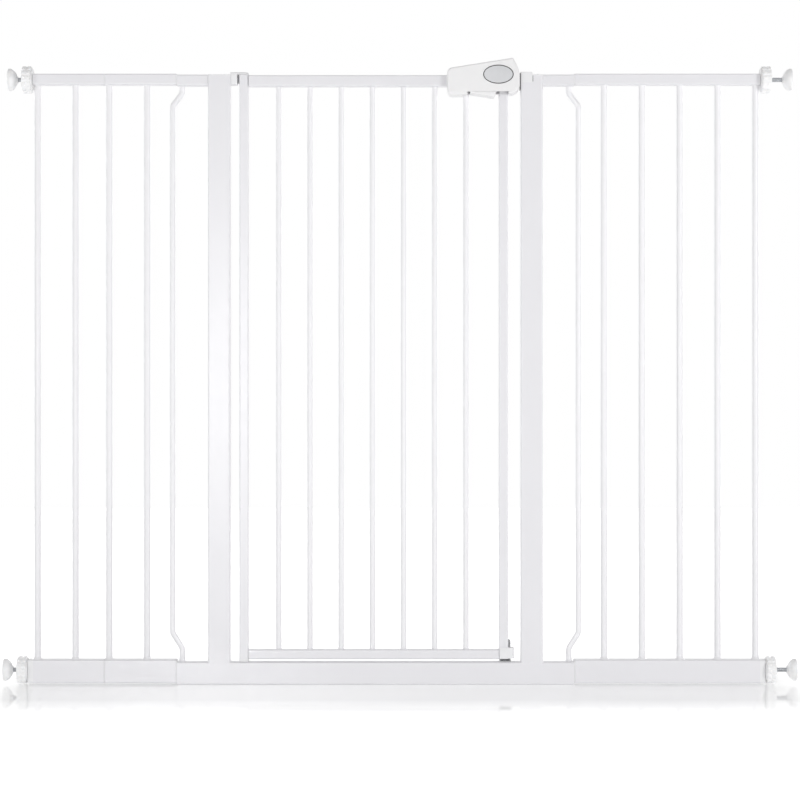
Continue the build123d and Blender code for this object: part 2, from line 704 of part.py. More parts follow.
with BuildPart() as hinge_bracket_screws:
    with BuildSketch(Plane.YZ.offset(HINGE_FACE_X - BRACKET_SCREW_REACH)):
        with Locations(*[(0, z) for z in BRACKET_SCREW_Z]):
            Circle(BRACKET_SCREW_D / 2)
    extrude(amount=BRACKET_SCREW_REACH + BRACKET_LEG)
    with BuildSketch(Plane.YZ.offset(HINGE_FACE_X + BRACKET_LEG)):
        with Locations(*[(0, z) for z in BRACKET_SCREW_Z]):
            Circle(BRACKET_SCREW_HEAD_D / 2)
    extrude(amount=-BRACKET_SCREW_HEAD)
save(hinge_bracket_screws, "hinge_bracket_screws")

with BuildPart() as top_hinge_pin:
    with BuildSketch(Plane.XY.offset(BRACKET_TOP)):
        with Locations((HINGE_X, 0)):
            Circle(HINGE_PIN_D / 2)
    extrude(amount=-(BRACKET_TOP - TOP_RAIL_TOP + HINGE_PIN_REACH))
    chamfer(top_hinge_pin.edges().sort_by(Axis.Z)[0], length=SPINDLE_CHAMFER)
save(top_hinge_pin, "top_hinge_pin")

with BuildPart() as bottom_hinge_pin:
    with BuildSketch(Plane.XY.offset(BASE_HEIGHT)):
        with Locations((HINGE_X, 0)):
            Circle(HINGE_PIN_D / 2)
    extrude(amount=DOOR_FLOOR_GAP + HINGE_PIN_REACH)
    chamfer(bottom_hinge_pin.edges().sort_by(Axis.Z)[-1], length=SPINDLE_CHAMFER)
save(bottom_hinge_pin, "bottom_hinge_pin")

# Foot cap clipped round the latch corner of the door
FOOT_CAP_BACK = STILE / 2 + FOOT_CAP_WALL
with BuildPart() as door_foot_cap:
    cap_left = LATCH_STILE_X - STILE / 2 + FOOT_CAP_SETBACK
    cap_right = LATCH_STILE_X + STILE / 2 + FOOT_CAP_NOSE
    with BuildSketch(Plane.XY.offset(DOOR_BOTTOM + FOOT_CAP_LIFT)):
        with Locations((cap_left, 0)):
            Rectangle(cap_right - cap_left, 2 * FOOT_CAP_BACK, align=(Align.MIN, Align.CENTER))
    extrude(amount=FOOT_CAP_HEIGHT)
    nose_face = door_foot_cap.faces().sort_by(Axis.X)[-1]
    fillet(nose_face.edges().filter_by(Axis.Z), radius=FOOT_CAP_ROUND)
    with BuildSketch(Plane.XY.offset(DOOR_BOTTOM)):
        with Locations((LATCH_STILE_X, 0)):
            RectangleRounded(STILE, STILE, STILE_CORNER)
    extrude(amount=FOOT_CAP_LIFT + FOOT_CAP_HEIGHT, mode=Mode.SUBTRACT)
    with Locations((cap_left, 0, DOOR_BOTTOM)):
        Box(
            STILE / 2,
            STILE,
            FOOT_CAP_LIFT + FOOT_CAP_HEIGHT,
            align=(Align.MIN, Align.CENTER, Align.MIN),
            mode=Mode.SUBTRACT,
        )
save(door_foot_cap, "door_foot_cap")

# Steel stop angle behind the door, riveted to the base rail
STOP_FRONT = FOOT_CAP_BACK + MOVING_GAP
STOP_BACK = STOP_FRONT + STOP_THICKNESS
STOP_X = LATCH_STILE_X + FOOT_CAP_SETBACK + (STOP_WIDTH - STILE) / 2
RIVET_Y = STOP_BACK - STOP_FOOT / 2 - STOP_THICKNESS
RIVET_PLACES = [(STOP_X + sign * RIVET_SPACING / 2, RIVET_Y) for sign in (-1, 1)]
with BuildPart() as stop_plate:
    with Locations((STOP_X, STOP_BACK, BASE_HEIGHT)):
        Box(STOP_WIDTH, STOP_FOOT, STOP_THICKNESS, align=(Align.CENTER, Align.MAX, Align.MIN))
        Box(STOP_WIDTH, STOP_THICKNESS, STOP_HEIGHT, align=(Align.CENTER, Align.MAX, Align.MIN))
    upper_edges = stop_plate.edges().filter_by(Axis.Y).group_by(Axis.Z)[-1]
    fillet(upper_edges, radius=STOP_CORNER)
    with BuildSketch(Plane.XY.offset(BASE_HEIGHT)):
        with Locations(*RIVET_PLACES):
            Circle(RIVET_D / 2)
    extrude(amount=STOP_THICKNESS, mode=Mode.SUBTRACT)
save(stop_plate, "stop_plate")

with BuildPart() as stop_plate_rivets:
    with BuildSketch(Plane.XY.offset(BASE_HEIGHT)):
        with Locations(*RIVET_PLACES):
            Circle(RIVET_D / 2)
    extrude(amount=STOP_THICKNESS)
    with BuildSketch(Plane.XY.offset(BASE_HEIGHT + STOP_THICKNESS)):
        with Locations(*RIVET_PLACES):
            Circle(RIVET_HEAD_D / 2)
    extrude(amount=RIVET_HEAD)
save(stop_plate_rivets, "stop_plate_rivets")

# Places in the latch
NOSE_TOP = TOP_RAIL_TOP + NOSE_RISE
NOSE_BOTTOM = NOSE_TOP - NOSE_HEIGHT
NOSE_TIP = LATCH_FACE_X + BOLT_ENGAGE
BOLT_BOTTOM = TOP_RAIL_TOP + MOVING_GAP
BOLT_TOP = BOLT_BOTTOM + BOLT_HEIGHT
PIVOT_X = LAST_BAR_X + PIVOT_FROM_BAR
PIVOT_Z = TOP_RAIL_BOTTOM - PIVOT_DROP
CROSS_Z = (BOLT_BOTTOM + BOLT_TOP) / 2
BOLT_TRAVEL = (CROSS_Z - PIVOT_Z) * sin(radians(TRIGGER_TURN))
CROSS_PIN_DROP = (CROSS_Z - PIVOT_Z) * (1 - cos(radians(TRIGGER_TURN)))

# Striker: a moulded block in the top of the latch post, with a pocket for the bolt and a cap plate
with BuildPart() as striker:
    with BuildSketch(Plane.XY.offset(STRIKER_BOTTOM)):
        with Locations((MAIN_X + POST_X, 0)):
            RectangleRounded(POST_WIDTH, FRAME_DEPTH, FRAME_CORNER)
        with Locations((LATCH_FACE_X, 0)):
            Rectangle(STRIKER_WIDTH, FRAME_DEPTH, align=(Align.MIN, Align.CENTER), mode=Mode.INTERSECT)
    extrude(amount=STRIKER_TOP - STRIKER_BOTTOM)
    fillet(striker.faces().sort_by(Axis.Z)[-1].edges(), radius=BRACKET_EDGE)
    with BuildSketch(Plane.XY.offset(POST_TOP)):
        with Locations((MAIN_X + POST_X, 0)):
            RectangleRounded(POST_WIDTH, FRAME_DEPTH, FRAME_CORNER)
    extrude(amount=CAP_THICKNESS)
    with BuildSketch(Plane.XY.offset(POST_TOP)):
        with Locations((MAIN_X + POST_X, 0)):
            RectangleRounded(
                POST_WIDTH - 2 * (FRAME_WALL + FIT),
                FRAME_DEPTH - 2 * (FRAME_WALL + FIT),
                inner_corner(FRAME_CORNER, FRAME_WALL + FIT),
            )
    extrude(amount=-(POST_TOP - STRIKER_BOTTOM + CAP_PLUG))
    with Locations((LATCH_FACE_X, 0, NOSE_BOTTOM - BOLT_CLEARANCE)):
        Box(
            BOLT_ENGAGE + BOLT_CLEARANCE,
            BOLT_WIDTH + 2 * BOLT_CLEARANCE,
            NOSE_HEIGHT + 2 * BOLT_CLEARANCE,
            align=(Align.MIN, Align.CENTER, Align.MIN),
            mode=Mode.SUBTRACT,
        )
    STRIKER_SCREW_X = LATCH_FACE_X + (STRIKER_WIDTH + POST_WIDTH) / 2
    with Locations((STRIKER_SCREW_X, 0, FRAME_HEIGHT)):
        Hole(STRIKER_SCREW_D / 2, depth=STRIKER_SCREW_LENGTH)
save(striker, "striker")

# Dark buffer strip on the inner face of the striker and post, with a window for the bolt
with BuildPart() as striker_buffer:
    with Locations((LATCH_FACE_X, 0, STRIKER_TOP - BRACKET_EDGE)):
        Box(
            BUFFER_THICKNESS,
            FRAME_DEPTH - 2 * FRAME_CORNER,
            BUFFER_HEIGHT,
            align=(Align.MAX, Align.CENTER, Align.MAX),
        )
    with Locations((LATCH_FACE_X, 0, NOSE_BOTTOM - BOLT_CLEARANCE)):
        Box(
            2 * BUFFER_THICKNESS,
            BOLT_WIDTH + 2 * BOLT_CLEARANCE,
            NOSE_HEIGHT + 2 * BOLT_CLEARANCE,
            align=(Align.CENTER, Align.CENTER, Align.MIN),
            mode=Mode.SUBTRACT,
        )
save(striker_buffer, "striker_buffer")

with BuildPart() as striker_screw:
    with BuildSketch(Plane.XY.offset(FRAME_HEIGHT)):
        with Locations((STRIKER_SCREW_X, 0)):
            Circle(STRIKER_SCREW_D / 2)
    extrude(amount=-STRIKER_SCREW_LENGTH)
    with BuildSketch(Plane.XY.offset(FRAME_HEIGHT)):
        with Locations((STRIKER_SCREW_X, 0)):
            Circle(STRIKER_SCREW_HEAD_D / 2)
    extrude(amount=STRIKER_SCREW_HEAD)
    fillet(striker_screw.edges().sort_by(Axis.Z)[-1], radius=BRACKET_EDGE)
save(striker_screw, "striker_screw")

# Latch housing: outline, cavity and openings
LATCH_RIGHT = LATCH_FACE_X - LATCH_GAP
LATCH_LEFT = LATCH_RIGHT - LATCH_LENGTH
LATCH_APEX_X = LATCH_RIGHT - LATCH_APEX_SETBACK
LATCH_BOTTOM = TOP_RAIL_BOTTOM - LATCH_DROP
LATCH_LOW_TOP = TOP_RAIL_TOP + LATCH_LOW_RISE
LATCH_HIGH_TOP = TOP_RAIL_TOP + LATCH_HIGH_RISE
LATCH_HALF = LATCH_DEPTH / 2
CAVITY_HALF = LATCH_HALF - LATCH_WALL
LOW_CAVITY_HALF = CAVITY_HALF - LIP_SETBACK
LIP_Z = LATCH_BOTTOM + LIP_HEIGHT
NOTCH_LEFT = LAST_BAR_X + NOTCH_FROM_BAR
TRIGGER_LEFT = PIVOT_X + TRIGGER_ARM / 2 - (PIVOT_FROM_BAR - DOOR_BAR_D / 2) - TRIGGER_WALL
TRIGGER_RIGHT = TRIGGER_LEFT + TRIGGER_LENGTH
NOTCH_RIGHT = LATCH_STILE_X + STILE / 2 + NOTCH_CLEARANCE
BLADE_LEFT = PIVOT_X + BLADE_FROM_PIVOT
BLADE_RIGHT = BLADE_LEFT + STOP_BLADE


def latch_top_z(x):
    """Height of the sloping top of the latch housing at x."""
    slope = (LATCH_HIGH_TOP - LATCH_LOW_TOP) / (LATCH_APEX_X - LATCH_LEFT)
    return LATCH_LOW_TOP + slope * (x - LATCH_LEFT)


# Front outline of the latch housing and of its cavity
with BuildSketch() as latch_outline:
    with BuildLine():
        FilletPolyline(
            (LATCH_LEFT, LATCH_BOTTOM),
            (LATCH_RIGHT, LATCH_BOTTOM + LATCH_HEEL_LIFT),
            (LATCH_RIGHT, TOP_RAIL_TOP + LATCH_KNEE_RISE),
            (LATCH_APEX_X, LATCH_HIGH_TOP),
            (LATCH_LEFT, LATCH_LOW_TOP),
            radius=[LATCH_TOE_R, LATCH_HEEL_R, LATCH_KNEE_R, LATCH_APEX_R, LATCH_SHOULDER_R],
            close=True,
        )
    make_face()

with BuildSketch() as cavity_outline:
    add(latch_outline.sketch)
    offset(amount=-LATCH_WALL)

with BuildPart() as latch_housing:
    with BuildSketch(Plane.XZ):
        add(latch_outline.sketch)
    extrude(amount=LATCH_HALF, both=True)
    fillet(latch_housing.faces().filter_by(Axis.Y).edges(), radius=LATCH_EDGE)
    # The lower lip steps back and leans in under the front and back faces
    with BuildSketch(Plane.YZ.offset(LATCH_LEFT - CUT_MARGIN)):
        for sign in (-1, 1):
            Polygon(
                (sign * (LATCH_HALF - LIP_STEP), LIP_Z),
                (sign * (LATCH_HALF + CUT_MARGIN), LIP_Z),
                (sign * (LATCH_HALF + CUT_MARGIN), LATCH_BOTTOM),
                (sign * (LATCH_HALF - LIP_SETBACK), LATCH_BOTTOM),
                align=None,
            )
    extrude(amount=LATCH_LENGTH + 2 * CUT_MARGIN, mode=Mode.SUBTRACT)
    # Cavity, narrower behind the leaning lip
    with BuildSketch(Plane.XZ):
        add(cavity_outline.sketch)
    extrude(amount=LOW_CAVITY_HALF, both=True, mode=Mode.SUBTRACT)
    with BuildSketch(Plane.XZ):
        add(cavity_outline.sketch)
        with Locations((LATCH_LEFT, LIP_Z)):
            Rectangle(LATCH_LENGTH, LATCH_LENGTH, align=(Align.MIN, Align.MAX), mode=Mode.SUBTRACT)
    extrude(amount=CAVITY_HALF, both=True, mode=Mode.SUBTRACT)
    # Ways through for the top rail, the last bar and the bolt, and one notch for the trigger and stile
    with Locations((LATCH_LEFT, 0, TOP_RAIL_Z)):
        Box(2 * LATCH_TOE_R, SLIM_TUBE + 2 * FIT, SLIM_TUBE + 2 * FIT, mode=Mode.SUBTRACT)
    with Locations((LAST_BAR_X, 0, LATCH_BOTTOM)):
        Cylinder(DOOR_BAR_D / 2 + FIT, 2 * LIP_HEIGHT, mode=Mode.SUBTRACT)
    with Locations((NOTCH_LEFT, 0, LIP_Z)):
        Box(
            NOTCH_RIGHT - NOTCH_LEFT,
            LATCH_DEPTH + CUT_MARGIN,
            LIP_HEIGHT + CUT_MARGIN,
            align=(Align.MIN, Align.CENTER, Align.MAX),
            mode=Mode.SUBTRACT,
        )
    with Locations((LATCH_RIGHT, 0, NOSE_BOTTOM - BOLT_CLEARANCE)):
        Box(
            2 * LATCH_APEX_SETBACK,
            BOLT_WIDTH + 2 * BOLT_CLEARANCE,
            NOSE_HEIGHT + 2 * BOLT_CLEARANCE,
            align=(Align.CENTER, Align.CENTER, Align.MIN),
            mode=Mode.SUBTRACT,
        )

BOSS_REACH = LATCH_HALF - LATCH_WALL / 2
BOSS_R = LATCH_BOSS_D / 2
LATCH_SCREW_PLACES = [
    (LATCH_LEFT + LATCH_TOE_R, TOP_RAIL_TOP + BOSS_R + LATCH_WALL / 2),
    (LATCH_LEFT + LATCH_TOE_R + BOSS_R / 2, TOP_RAIL_BOTTOM - BOSS_R - 2 * FIT),
    (LATCH_RIGHT - 2 * BOSS_R - FIT, TOP_RAIL_BOTTOM - BOSS_R / 2),
    (LATCH_STILE_X + STILE / 2, BOLT_TOP + 2 * BOSS_R + FIT),
]
SCREW_HEAD_Y = LATCH_HALF - LATCH_SCREW_SINK - LATCH_SCREW_HEAD
PIN_SEAT_Y = TRIGGER_WIDTH / 2 + MOVING_GAP
PIN_END_Y = LATCH_HALF - TRIGGER_PIN_SEAT
BADGE_PLACE = (LATCH_RIGHT - BADGE_SETBACK, TOP_RAIL_TOP - BADGE_TOP_DROP)


def latch_shell(keep, direction):
    """One half of the housing with its screw bosses, pin seat and half of the spring stop."""
    blade_bottom = BOLT_BOTTOM + BOLT_CLEARANCE
    blade_top = latch_top_z(BLADE_LEFT) - LATCH_WALL / 2
    with BuildPart() as shell:
        add(latch_housing.part)
        split(bisect_by=Plane.XZ, keep=keep)
        with BuildSketch(Plane.XZ):
            with Locations(*LATCH_SCREW_PLACES):
                Circle(BOSS_R)
        extrude(amount=direction * BOSS_REACH)
        with BuildSketch(Plane.XZ.offset(direction * PIN_SEAT_Y)):
            with Locations((PIVOT_X, PIVOT_Z)):
                Circle(TRIGGER_BOSS_D / 2)
        extrude(amount=direction * (BOSS_REACH - PIN_SEAT_Y))
        with BuildSketch(Plane.XZ.offset(direction * PIN_SEAT_Y)):
            with Locations((PIVOT_X, PIVOT_Z)):
                Circle(TRIGGER_PIN_D / 2)
        extrude(amount=direction * (PIN_END_Y - PIN_SEAT_Y), mode=Mode.SUBTRACT)
        with BuildSketch(Plane.XZ):
            with Locations((BLADE_LEFT, blade_bottom)):
                Rectangle(STOP_BLADE, blade_top - blade_bottom, align=(Align.MIN, Align.MIN))
        extrude(amount=direction * SPRING_D / 2)
    return shell


with BuildPart() as latch_front_shell:
    add(latch_shell(Keep.TOP, 1).part)
    with BuildSketch(Plane.XZ):
        with Locations(*LATCH_SCREW_PLACES):
            Circle(LATCH_SCREW_D / 2)
    extrude(amount=LATCH_SCREW_GRIP, mode=Mode.SUBTRACT)
    with BuildSketch(Plane.XZ.offset(LATCH_HALF)):
        with Locations(BADGE_PLACE):
            Ellipse(BADGE_WIDTH / 2, BADGE_HEIGHT / 2)
    extrude(amount=-BADGE_SINK, mode=Mode.SUBTRACT)
save(latch_front_shell, "latch_front_shell")

with BuildPart() as latch_back_shell:
    add(latch_shell(Keep.BOTTOM, -1).part)
    with BuildSketch(Plane.XZ):
        with Locations(*LATCH_SCREW_PLACES):
            Circle(LATCH_SCREW_D / 2)
    extrude(amount=-LATCH_HALF, mode=Mode.SUBTRACT)
    with BuildSketch(Plane.XZ.offset(-SCREW_HEAD_Y)):
        with Locations(*LATCH_SCREW_PLACES):
            Circle(LATCH_SCREW_HEAD_D / 2)
    extrude(amount=-(LATCH_HALF - SCREW_HEAD_Y), mode=Mode.SUBTRACT)
save(latch_back_shell, "latch_back_shell")

with BuildPart() as latch_screws:
    with BuildSketch(Plane.XZ.offset(LATCH_SCREW_GRIP)):
        with Locations(*LATCH_SCREW_PLACES):
            Circle(LATCH_SCREW_D / 2)
    extrude(amount=-(LATCH_SCREW_GRIP + SCREW_HEAD_Y))
    with BuildSketch(Plane.XZ.offset(-SCREW_HEAD_Y)):
        with Locations(*LATCH_SCREW_PLACES):
            Circle(LATCH_SCREW_HEAD_D / 2)
    extrude(amount=-LATCH_SCREW_HEAD)
save(latch_screws, "latch_screws")

with BuildPart() as badge_plate:
    with BuildSketch(Plane.XZ.offset(LATCH_HALF - BADGE_SINK)):
        with Locations(BADGE_PLACE):
            Ellipse(BADGE_WIDTH / 2, BADGE_HEIGHT / 2)
    extrude(amount=BADGE_THICKNESS)
    fillet(badge_plate.faces().sort_by(Axis.Y)[0].edges(), radius=BADGE_EDGE)
save(badge_plate, "badge_plate")

# Squeeze trigger: a finger tub under the top rail whose two arms reach up beside the rail
TRIGGER_BOTTOM_LEFT = LATCH_BOTTOM + TRIGGER_LEFT_LIFT
TRIGGER_BOTTOM_TIP = LATCH_BOTTOM - TRIGGER_TIP_DROP
TIP_BOTTOM_X = TRIGGER_RIGHT - TRIGGER_TIP_SLOPE
TRIGGER_TOP = LIP_Z + TRIGGER_WALL / 2
TIP_LEAN = TRIGGER_TIP_SLOPE / (TRIGGER_TOP - TRIGGER_BOTTOM_TIP)
TUB_RIGHT = TIP_BOTTOM_X + TIP_LEAN * (LIP_Z - TRIGGER_BOTTOM_TIP)
with BuildPart() as trigger:
    for outer_y in (TRIGGER_WIDTH / 2, TRIGGER_WALL - TRIGGER_WIDTH / 2):
        with BuildSketch(Plane.XZ.offset(outer_y)):
            Polygon(
                (TRIGGER_LEFT, TRIGGER_BOTTOM_LEFT),
                (TIP_BOTTOM_X, TRIGGER_BOTTOM_TIP),
                (TRIGGER_RIGHT, TRIGGER_TOP),
                (PIVOT_X + TRIGGER_ARM / 2, PIVOT_Z + TRIGGER_PIN_D / 2),
                (TRIGGER_LEFT, PIVOT_Z + TRIGGER_PIN_D / 2),
                align=None,
            )
            with Locations((PIVOT_X, PIVOT_Z)):
                Rectangle(TRIGGER_ARM, CROSS_Z - PIVOT_Z, align=(Align.CENTER, Align.MIN))
            with Locations((PIVOT_X, CROSS_Z)):
                Circle(TRIGGER_ARM / 2)
        extrude(amount=-TRIGGER_WALL)
    with BuildSketch(Plane.XZ):
        # Floor and both ends of the tub
        Polygon(
            (TRIGGER_LEFT, TRIGGER_BOTTOM_LEFT),
            (TIP_BOTTOM_X, TRIGGER_BOTTOM_TIP),
            (TIP_BOTTOM_X, TRIGGER_BOTTOM_TIP + TRIGGER_WALL),
            (TRIGGER_LEFT, TRIGGER_BOTTOM_LEFT + TRIGGER_WALL),
            align=None,
        )
        Polygon(
            (TIP_BOTTOM_X - TRIGGER_WALL, TRIGGER_BOTTOM_TIP + TRIGGER_WALL / 2),
            (TIP_BOTTOM_X, TRIGGER_BOTTOM_TIP),
            (TUB_RIGHT, LIP_Z),
            (TUB_RIGHT - TRIGGER_WALL, LIP_Z),
            align=None,
        )
        Polygon(
            (TRIGGER_LEFT, TRIGGER_BOTTOM_LEFT),
            (TRIGGER_LEFT + TRIGGER_WALL, TRIGGER_BOTTOM_LEFT),
            (TRIGGER_LEFT + TRIGGER_WALL, LIP_Z),
            (TRIGGER_LEFT, LIP_Z),
            align=None,
        )
    extrude(amount=TRIGGER_WIDTH / 2 - TRIGGER_WALL / 2, both=True)
    finger_face = trigger.faces().sort_by(Axis.Z)[0]
    fillet(finger_face.edges(), radius=TRIGGER_EDGE)
    with BuildSketch(Plane.XZ):
        with Locations((PIVOT_X, PIVOT_Z)):
            Circle(TRIGGER_PIN_D / 2 + RUNNING)
        with Locations((PIVOT_X, CROSS_Z)):
            Circle(CROSS_PIN_D / 2)
    extrude(amount=TRIGGER_WIDTH, both=True, mode=Mode.SUBTRACT)
save(trigger, "trigger")

with BuildPart() as trigger_pin:
    with BuildSketch(Plane.XZ):
        with Locations((PIVOT_X, PIVOT_Z)):
            Circle(TRIGGER_PIN_D / 2)
    extrude(amount=PIN_END_Y, both=True)
save(trigger_pin, "trigger_pin")

with BuildPart() as cross_pin:
    with BuildSketch(Plane.XZ):
        with Locations((PIVOT_X, CROSS_Z)):
            Circle(CROSS_PIN_D / 2)
    extrude(amount=TRIGGER_WIDTH / 2, both=True)
save(cross_pin, "cross_pin")

# Latch bolt: slides on the top rail, steps down past the latch stile and ends in a bevelled nose
LEG_LEFT = LATCH_STILE_X + STILE / 2 + BOLT_TRAVEL + BOLT_CLEARANCE
LEG_RIGHT = LEG_LEFT + BOLT_LEG
WINDOW_LEFT = BLADE_LEFT - BOLT_CLEARANCE
WINDOW_RIGHT = BLADE_RIGHT + SPRING_LENGTH
PIN_SLOT_BOTTOM = CROSS_Z - CROSS_PIN_D / 2 - CROSS_PIN_DROP - MOVING_GAP
PIN_SLOT_TOP = CROSS_Z + CROSS_PIN_D / 2 + MOVING_GAP
with BuildPart() as latch_bolt:
    with BuildSketch(Plane.XZ):
        Polygon(
            (PIVOT_X - BOLT_TAIL, BOLT_BOTTOM),
            (LEG_LEFT, BOLT_BOTTOM),
            (LEG_LEFT, NOSE_BOTTOM),
            (NOSE_TIP, NOSE_BOTTOM),
            (NOSE_TIP, NOSE_TOP),
            (LEG_RIGHT, NOSE_TOP),
            (LEG_RIGHT, BOLT_TOP),
            (PIVOT_X - BOLT_TAIL, BOLT_TOP),
            align=None,
        )
        with Locations((PIVOT_X, (PIN_SLOT_BOTTOM + PIN_SLOT_TOP) / 2)):
            Rectangle(CROSS_PIN_D + 2 * MOVING_GAP, PIN_SLOT_TOP - PIN_SLOT_BOTTOM, mode=Mode.SUBTRACT)
    extrude(amount=BOLT_WIDTH / 2, both=True)
    with Locations((WINDOW_LEFT, 0, CROSS_Z)):
        Box(
            WINDOW_RIGHT - WINDOW_LEFT,
            SPRING_D + 2 * MOVING_GAP,
            2 * BOLT_HEIGHT,
            align=(Align.MIN, Align.CENTER, Align.CENTER),
            mode=Mode.SUBTRACT,
        )
    tip_edges = latch_bolt.faces().sort_by(Axis.X)[-1].edges().filter_by(Axis.Z)
    chamfer(tip_edges.sort_by(Axis.Y)[-1], length=BOLT_BEVEL)
save(latch_bolt, "latch_bolt")


def spring_point(turn):
    """Point on the spring's helix after this many turns from its fixed end."""
    mean_radius = (SPRING_D - SPRING_WIRE_D) / 2
    angle = 2 * pi * turn
    return Vector(
        BLADE_RIGHT + SPRING_WIRE_D / 2 + SPRING_PITCH * turn,
        mean_radius * cos(angle),
        CROSS_Z + mean_radius * sin(angle),
    )


def spring_tangent(turn):
    """Direction of the helix after this many turns."""
    mean_radius = (SPRING_D - SPRING_WIRE_D) / 2
    angle = 2 * pi * turn
    return Vector(
        SPRING_PITCH / (2 * pi), -mean_radius * sin(angle), mean_radius * cos(angle)
    ).normalized()


# Return spring between the stop blade and the bolt, swept on a biarc for each half turn
SPRING_PITCH = (SPRING_LENGTH - SPRING_WIRE_D) / SPRING_TURNS
with BuildPart() as bolt_spring:
    with BuildLine() as spring_path:
        for half in range(2 * SPRING_TURNS):
            start, end = spring_point(half / 2), spring_point((half + 1) / 2)
            leave, arrive = spring_tangent(half / 2), spring_tangent((half + 1) / 2)
            chord = end - start
            bend = 2 * (1 - leave.dot(arrive))
            lean = 2 * chord.dot(leave + arrive)
            reach = (-lean + (lean**2 + 4 * bend * chord.dot(chord)) ** 0.5) / (2 * bend)
            middle = (start + end + (leave - arrive) * reach) * 0.5
            first = TangentArc(start, middle, tangent=leave)
            TangentArc(middle, end, tangent=first % 1)
    with BuildSketch(Plane(origin=spring_point(0), z_dir=spring_tangent(0))):
        Circle(SPRING_WIRE_D / 2)
    sweep(path=spring_path.line)
save(bolt_spring, "bolt_spring")
print(f"gap between spring turns {SPRING_PITCH - SPRING_WIRE_D:.2f} mm")
print(f"bolt travel {BOLT_TRAVEL:.3f} mm, main frame centre at x {MAIN_X:.3f} mm")
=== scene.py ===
import json
import math

import bmesh
import bpy
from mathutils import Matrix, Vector


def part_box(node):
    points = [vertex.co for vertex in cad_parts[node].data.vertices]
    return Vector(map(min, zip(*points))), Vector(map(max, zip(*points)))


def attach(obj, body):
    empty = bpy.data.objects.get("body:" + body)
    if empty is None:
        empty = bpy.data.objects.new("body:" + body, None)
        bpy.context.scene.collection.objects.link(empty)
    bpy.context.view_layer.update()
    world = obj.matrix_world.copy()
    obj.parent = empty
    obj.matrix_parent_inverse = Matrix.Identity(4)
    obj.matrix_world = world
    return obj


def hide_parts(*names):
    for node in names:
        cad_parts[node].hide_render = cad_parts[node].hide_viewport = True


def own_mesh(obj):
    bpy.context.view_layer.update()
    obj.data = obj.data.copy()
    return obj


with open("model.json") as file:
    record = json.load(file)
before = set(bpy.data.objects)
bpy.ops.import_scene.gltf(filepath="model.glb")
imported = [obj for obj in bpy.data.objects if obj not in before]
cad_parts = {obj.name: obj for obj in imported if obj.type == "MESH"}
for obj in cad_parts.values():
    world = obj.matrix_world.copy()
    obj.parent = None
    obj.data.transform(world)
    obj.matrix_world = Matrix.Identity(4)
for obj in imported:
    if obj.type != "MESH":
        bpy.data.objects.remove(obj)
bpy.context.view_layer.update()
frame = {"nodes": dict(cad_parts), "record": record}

MM = 0.001
NODES = frame["nodes"]
CORNERS = ("left_top", "left_bottom", "right_top", "right_bottom")

# Photograph's camera, in metres: level and square on, at about half the gate's height
CAMERA_DISTANCE = 3.700
CAMERA_HEIGHT = 0.484
CAMERA_LENS = 97.6
SENSOR = 36.0
CAMERA_REACH = 50.0

# Thread of the spindles; this and the details after it are in millimetres
THREAD_PITCH = 2.0
THREAD_DEPTH = 0.65
THREAD_LEAD_IN = 1.2
THREAD_ROWS = 6
THREAD_SIDES = 28

# Wall cups; LIP_GROOVE gives (distance along, depth), PAD_GROOVE gives (depth, distance inwards)
CUP_NECK_R = 6.0
CUP_COLLAR = 1.5
CUP_LIP = 4.0
CUP_SOCKET_R = 3.9
CUP_SOCKET = 6.0
CUP_NECK_EDGE = 0.5
CUP_EDGE = 1.2
LIP_GROOVE = ((0.5, 0.0), (0.7, 0.35), (1.1, 0.35), (1.3, 0.0))
PAD_GROOVE_R = (15.6, 12.4, 9.2, 6.0)
PAD_GROOVE = ((0.0, 0.0), (0.7, 0.4), (0.7, 1.4), (0.0, 1.8))
PAD_DIMPLE_R = 2.2
PAD_DIMPLE_FLOOR_R = 1.6
PAD_DIMPLE = 0.8

# Screws and rivets
SCREW_R = 2.0
BRACKET_SCREW_HEAD = 2.2
STRIKER_SCREW_HEAD = 1.8
LATCH_SCREW_R = 1.7
LATCH_SCREW_HEAD = 2.2
RIVET_R = 2.0
RIVET_HEAD = 1.2
RIVET_STEPS = 8

# Shape of a screw head, as shares of its radius and height
SCREW_POINT = 0.6
HEAD_FLAT = 0.72
HEAD_ROUND = 0.55
HEAD_STEPS = 6
CROSS_ARM = 0.30
CROSS_REACH = 0.62
CROSS_DEPTH = 0.75
CROSS_TAPER = 0.62

# Weld beads; their hollow faces, ends and unevenness are shares of a bead's size
WELD = 1.3
WELD_SINK = 0.3
WELD_SWAY = 0.16
WELD_STEP = 1.2
WELD_END = 0.35
WELD_GROWTH = 4
RING_WELD_SIDES = 40
RING_WELD_FACE = ((0.12, 0.95), (0.45, 0.55), (0.95, 0.12))
LINE_WELD_FACE = ((0.95, 0.12), (0.55, 0.5), (0.12, 0.95))
ROUND_BAR_R = 5.0
DOOR_RAIL_WELD = 5.5
STUB_WELD = 6.5
POST_WELD = 8.0

# Badge; the edge of its rim is given as (inset, depth)
BADGE_RIM = 1.5
BADGE_RIM_EDGE = ((0.0, 0.25), (0.1, 0.08), (0.3, 0.0))
BADGE_FIELD_DEPTH = 0.30
BADGE_CROWN = 0.16
BADGE_FLAT = 1.0
BADGE_STEPS = 6

# Dark strips in the seam beside the striker, painted shade standing in for the shade in that
# seam; their section is given as (depth, inset)
STRIKER_WIDTH = 20.3
STRIKER_SEAM = 0.9
STRIP_HALF_WIDTH = 0.4
STRIP_LENGTH = 10.0
STRIP_DROP = 0.3
STRIP_SECTION = ((0.25, 0.15), (0.35, 0.0), (1.3, 0.0))
STRIP_END_STEPS = 8

# Return spring
SPRING_WIRE = 0.8
SPRING_TURNS = 7
SPRING_STEPS = 28
SPRING_WIRE_SIDES = 12

